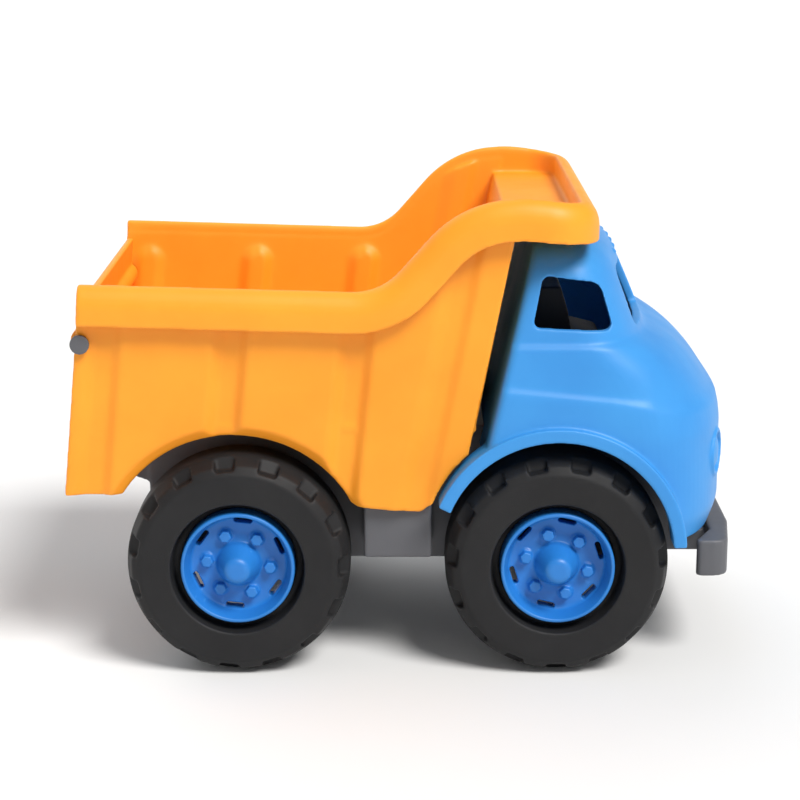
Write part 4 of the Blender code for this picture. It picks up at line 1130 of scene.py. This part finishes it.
def make_wheels():
    tyre_shape = make_tyre_shape()
    hub_shape = make_hub_shape()
    for end, x in (("front", FRONT_AXLE_X), ("rear", REAR_AXLE_X)):
        for side, turn, y in (("left", 0.0, TRACK / 2), ("right", math.pi, -TRACK / 2)):
            place = Matrix.Translation((x, y, AXLE_Z)) @ Matrix.Rotation(turn, 4, "Z")
            spun = place @ Matrix.Rotation(HUB_TURN[end] * math.cos(turn), 4, "Y")
            rolled = place @ Matrix.Rotation(TYRE_TURN[end] * math.cos(turn), 4, "Y")
            tyre = bpy.data.objects.new("tyre", tyre_shape.data.copy())
            hub = bpy.data.objects.new("hub", hub_shape.data.copy())
            for piece, where in ((tyre, rolled), (hub, spun)):
                piece.data.transform(where)
                bpy.context.scene.collection.objects.link(piece)
            stands_for(tyre, f"tyre_{end}_{side}", CHARCOAL)
            stands_for(hub, f"hub_{end}_{side}", HUB_SHADED_BLUE)
    bpy.data.objects.remove(tyre_shape)
    bpy.data.objects.remove(hub_shape)


# ---- Frame, seat and small pieces ----------------------------------------------------------
def softened(node, kind, material):
    """A copy of a CAD node with soft moulded edges, which stands for it."""
    return stands_for(moulded(node_copy(node), kind), node, material)


def make_plain_pieces():
    """The frame, the seat and the axles, pins and screws, whose shapes are the CAD's own."""
    softened("chassis", "chassis", GREY)
    softened("cab_seat", "seat", CHARCOAL)
    for end in ("front", "rear"):
        softened(f"{end}_axle", "axle", GREY)
    for side in ("left", "right"):
        softened(f"bed_hinge_pin_{side}", "pin", GREY)
        softened(f"tailgate_pin_{side}", "pin", GREY)
    for number in range(1, 5):
        softened(f"cab_screw_{number}", "screw", STEEL)


# ---- Stage, light and camera ---------------------------------------------------------------
def make_stage():
    """One pale floor that curves up into a low wall all round, far from the truck."""
    verts = [(0.0, 0.0, 0.0)]
    for radius, height in SWEEP_PROFILE:
        for step in range(SWEEP_SIDES):
            turn = math.tau * step / SWEEP_SIDES
            verts.append((radius * math.cos(turn), radius * math.sin(turn), height))
    faces = [(0, 1 + step, 1 + (step + 1) % SWEEP_SIDES) for step in range(SWEEP_SIDES)]
    for ring in range(len(SWEEP_PROFILE) - 1):
        low = 1 + ring * SWEEP_SIDES
        for step in range(SWEEP_SIDES):
            after = (step + 1) % SWEEP_SIDES
            faces.append((low + step, low + SWEEP_SIDES + step, low + SWEEP_SIDES + after, low + after))
    mesh = bpy.data.meshes.new("floor")
    mesh.from_pydata(verts, [], faces)
    mesh.shade_smooth()
    floor = bpy.data.objects.new("floor", mesh)
    bpy.context.scene.collection.objects.link(floor)
    mesh.materials.append(floor_paint("floor_paint"))


def sun(name, toward, strength, softness, colour):
    """A distant lamp that shines from the given side, with a soft-edged shadow."""
    lamp = bpy.data.lights.new(name, "SUN")
    lamp.energy = strength
    lamp.angle = math.radians(softness)
    lamp.color = colour
    holder = bpy.data.objects.new(name, lamp)
    holder.location = toward
    holder.rotation_euler = Vector(toward).to_track_quat("Z", "Y").to_euler()
    bpy.context.scene.collection.objects.link(holder)


def make_lights():
    """A broad key from the upper right, a weaker lamp from behind, and a pale room."""
    sun("key", (0.52, -0.62, 0.98), 3.5, 24.0, (1.0, 0.985, 0.96))
    sun("back", (-0.60, 0.75, 0.90), 0.9, 60.0, (0.96, 0.98, 1.0))
    world = bpy.data.worlds.new("studio")
    world.use_nodes = True
    backdrop = world.node_tree.nodes["Background"]
    backdrop.inputs["Color"].default_value = (0.97, 0.98, 1.0, 1.0)
    backdrop.inputs["Strength"].default_value = 0.32
    bpy.context.scene.world = world


def make_camera():
    """Stands to the right of the truck, just above it and tipped down."""
    camera = bpy.data.cameras.new("camera")
    camera.lens = CAMERA_LENS
    camera.sensor_width = 36.0
    holder = bpy.data.objects.new("camera", camera)
    holder.location = CAMERA_PLACE
    holder.rotation_euler = (math.radians(90.0 - CAMERA_DIP), 0.0, 0.0)
    bpy.context.scene.collection.objects.link(holder)
    bpy.context.scene.camera = holder


make_camera()
make_bed()
make_tailgate()
make_cab()
make_wheels()
make_plain_pieces()
make_stage()
make_lights()
bpy.context.scene.view_settings.view_transform = "Standard"
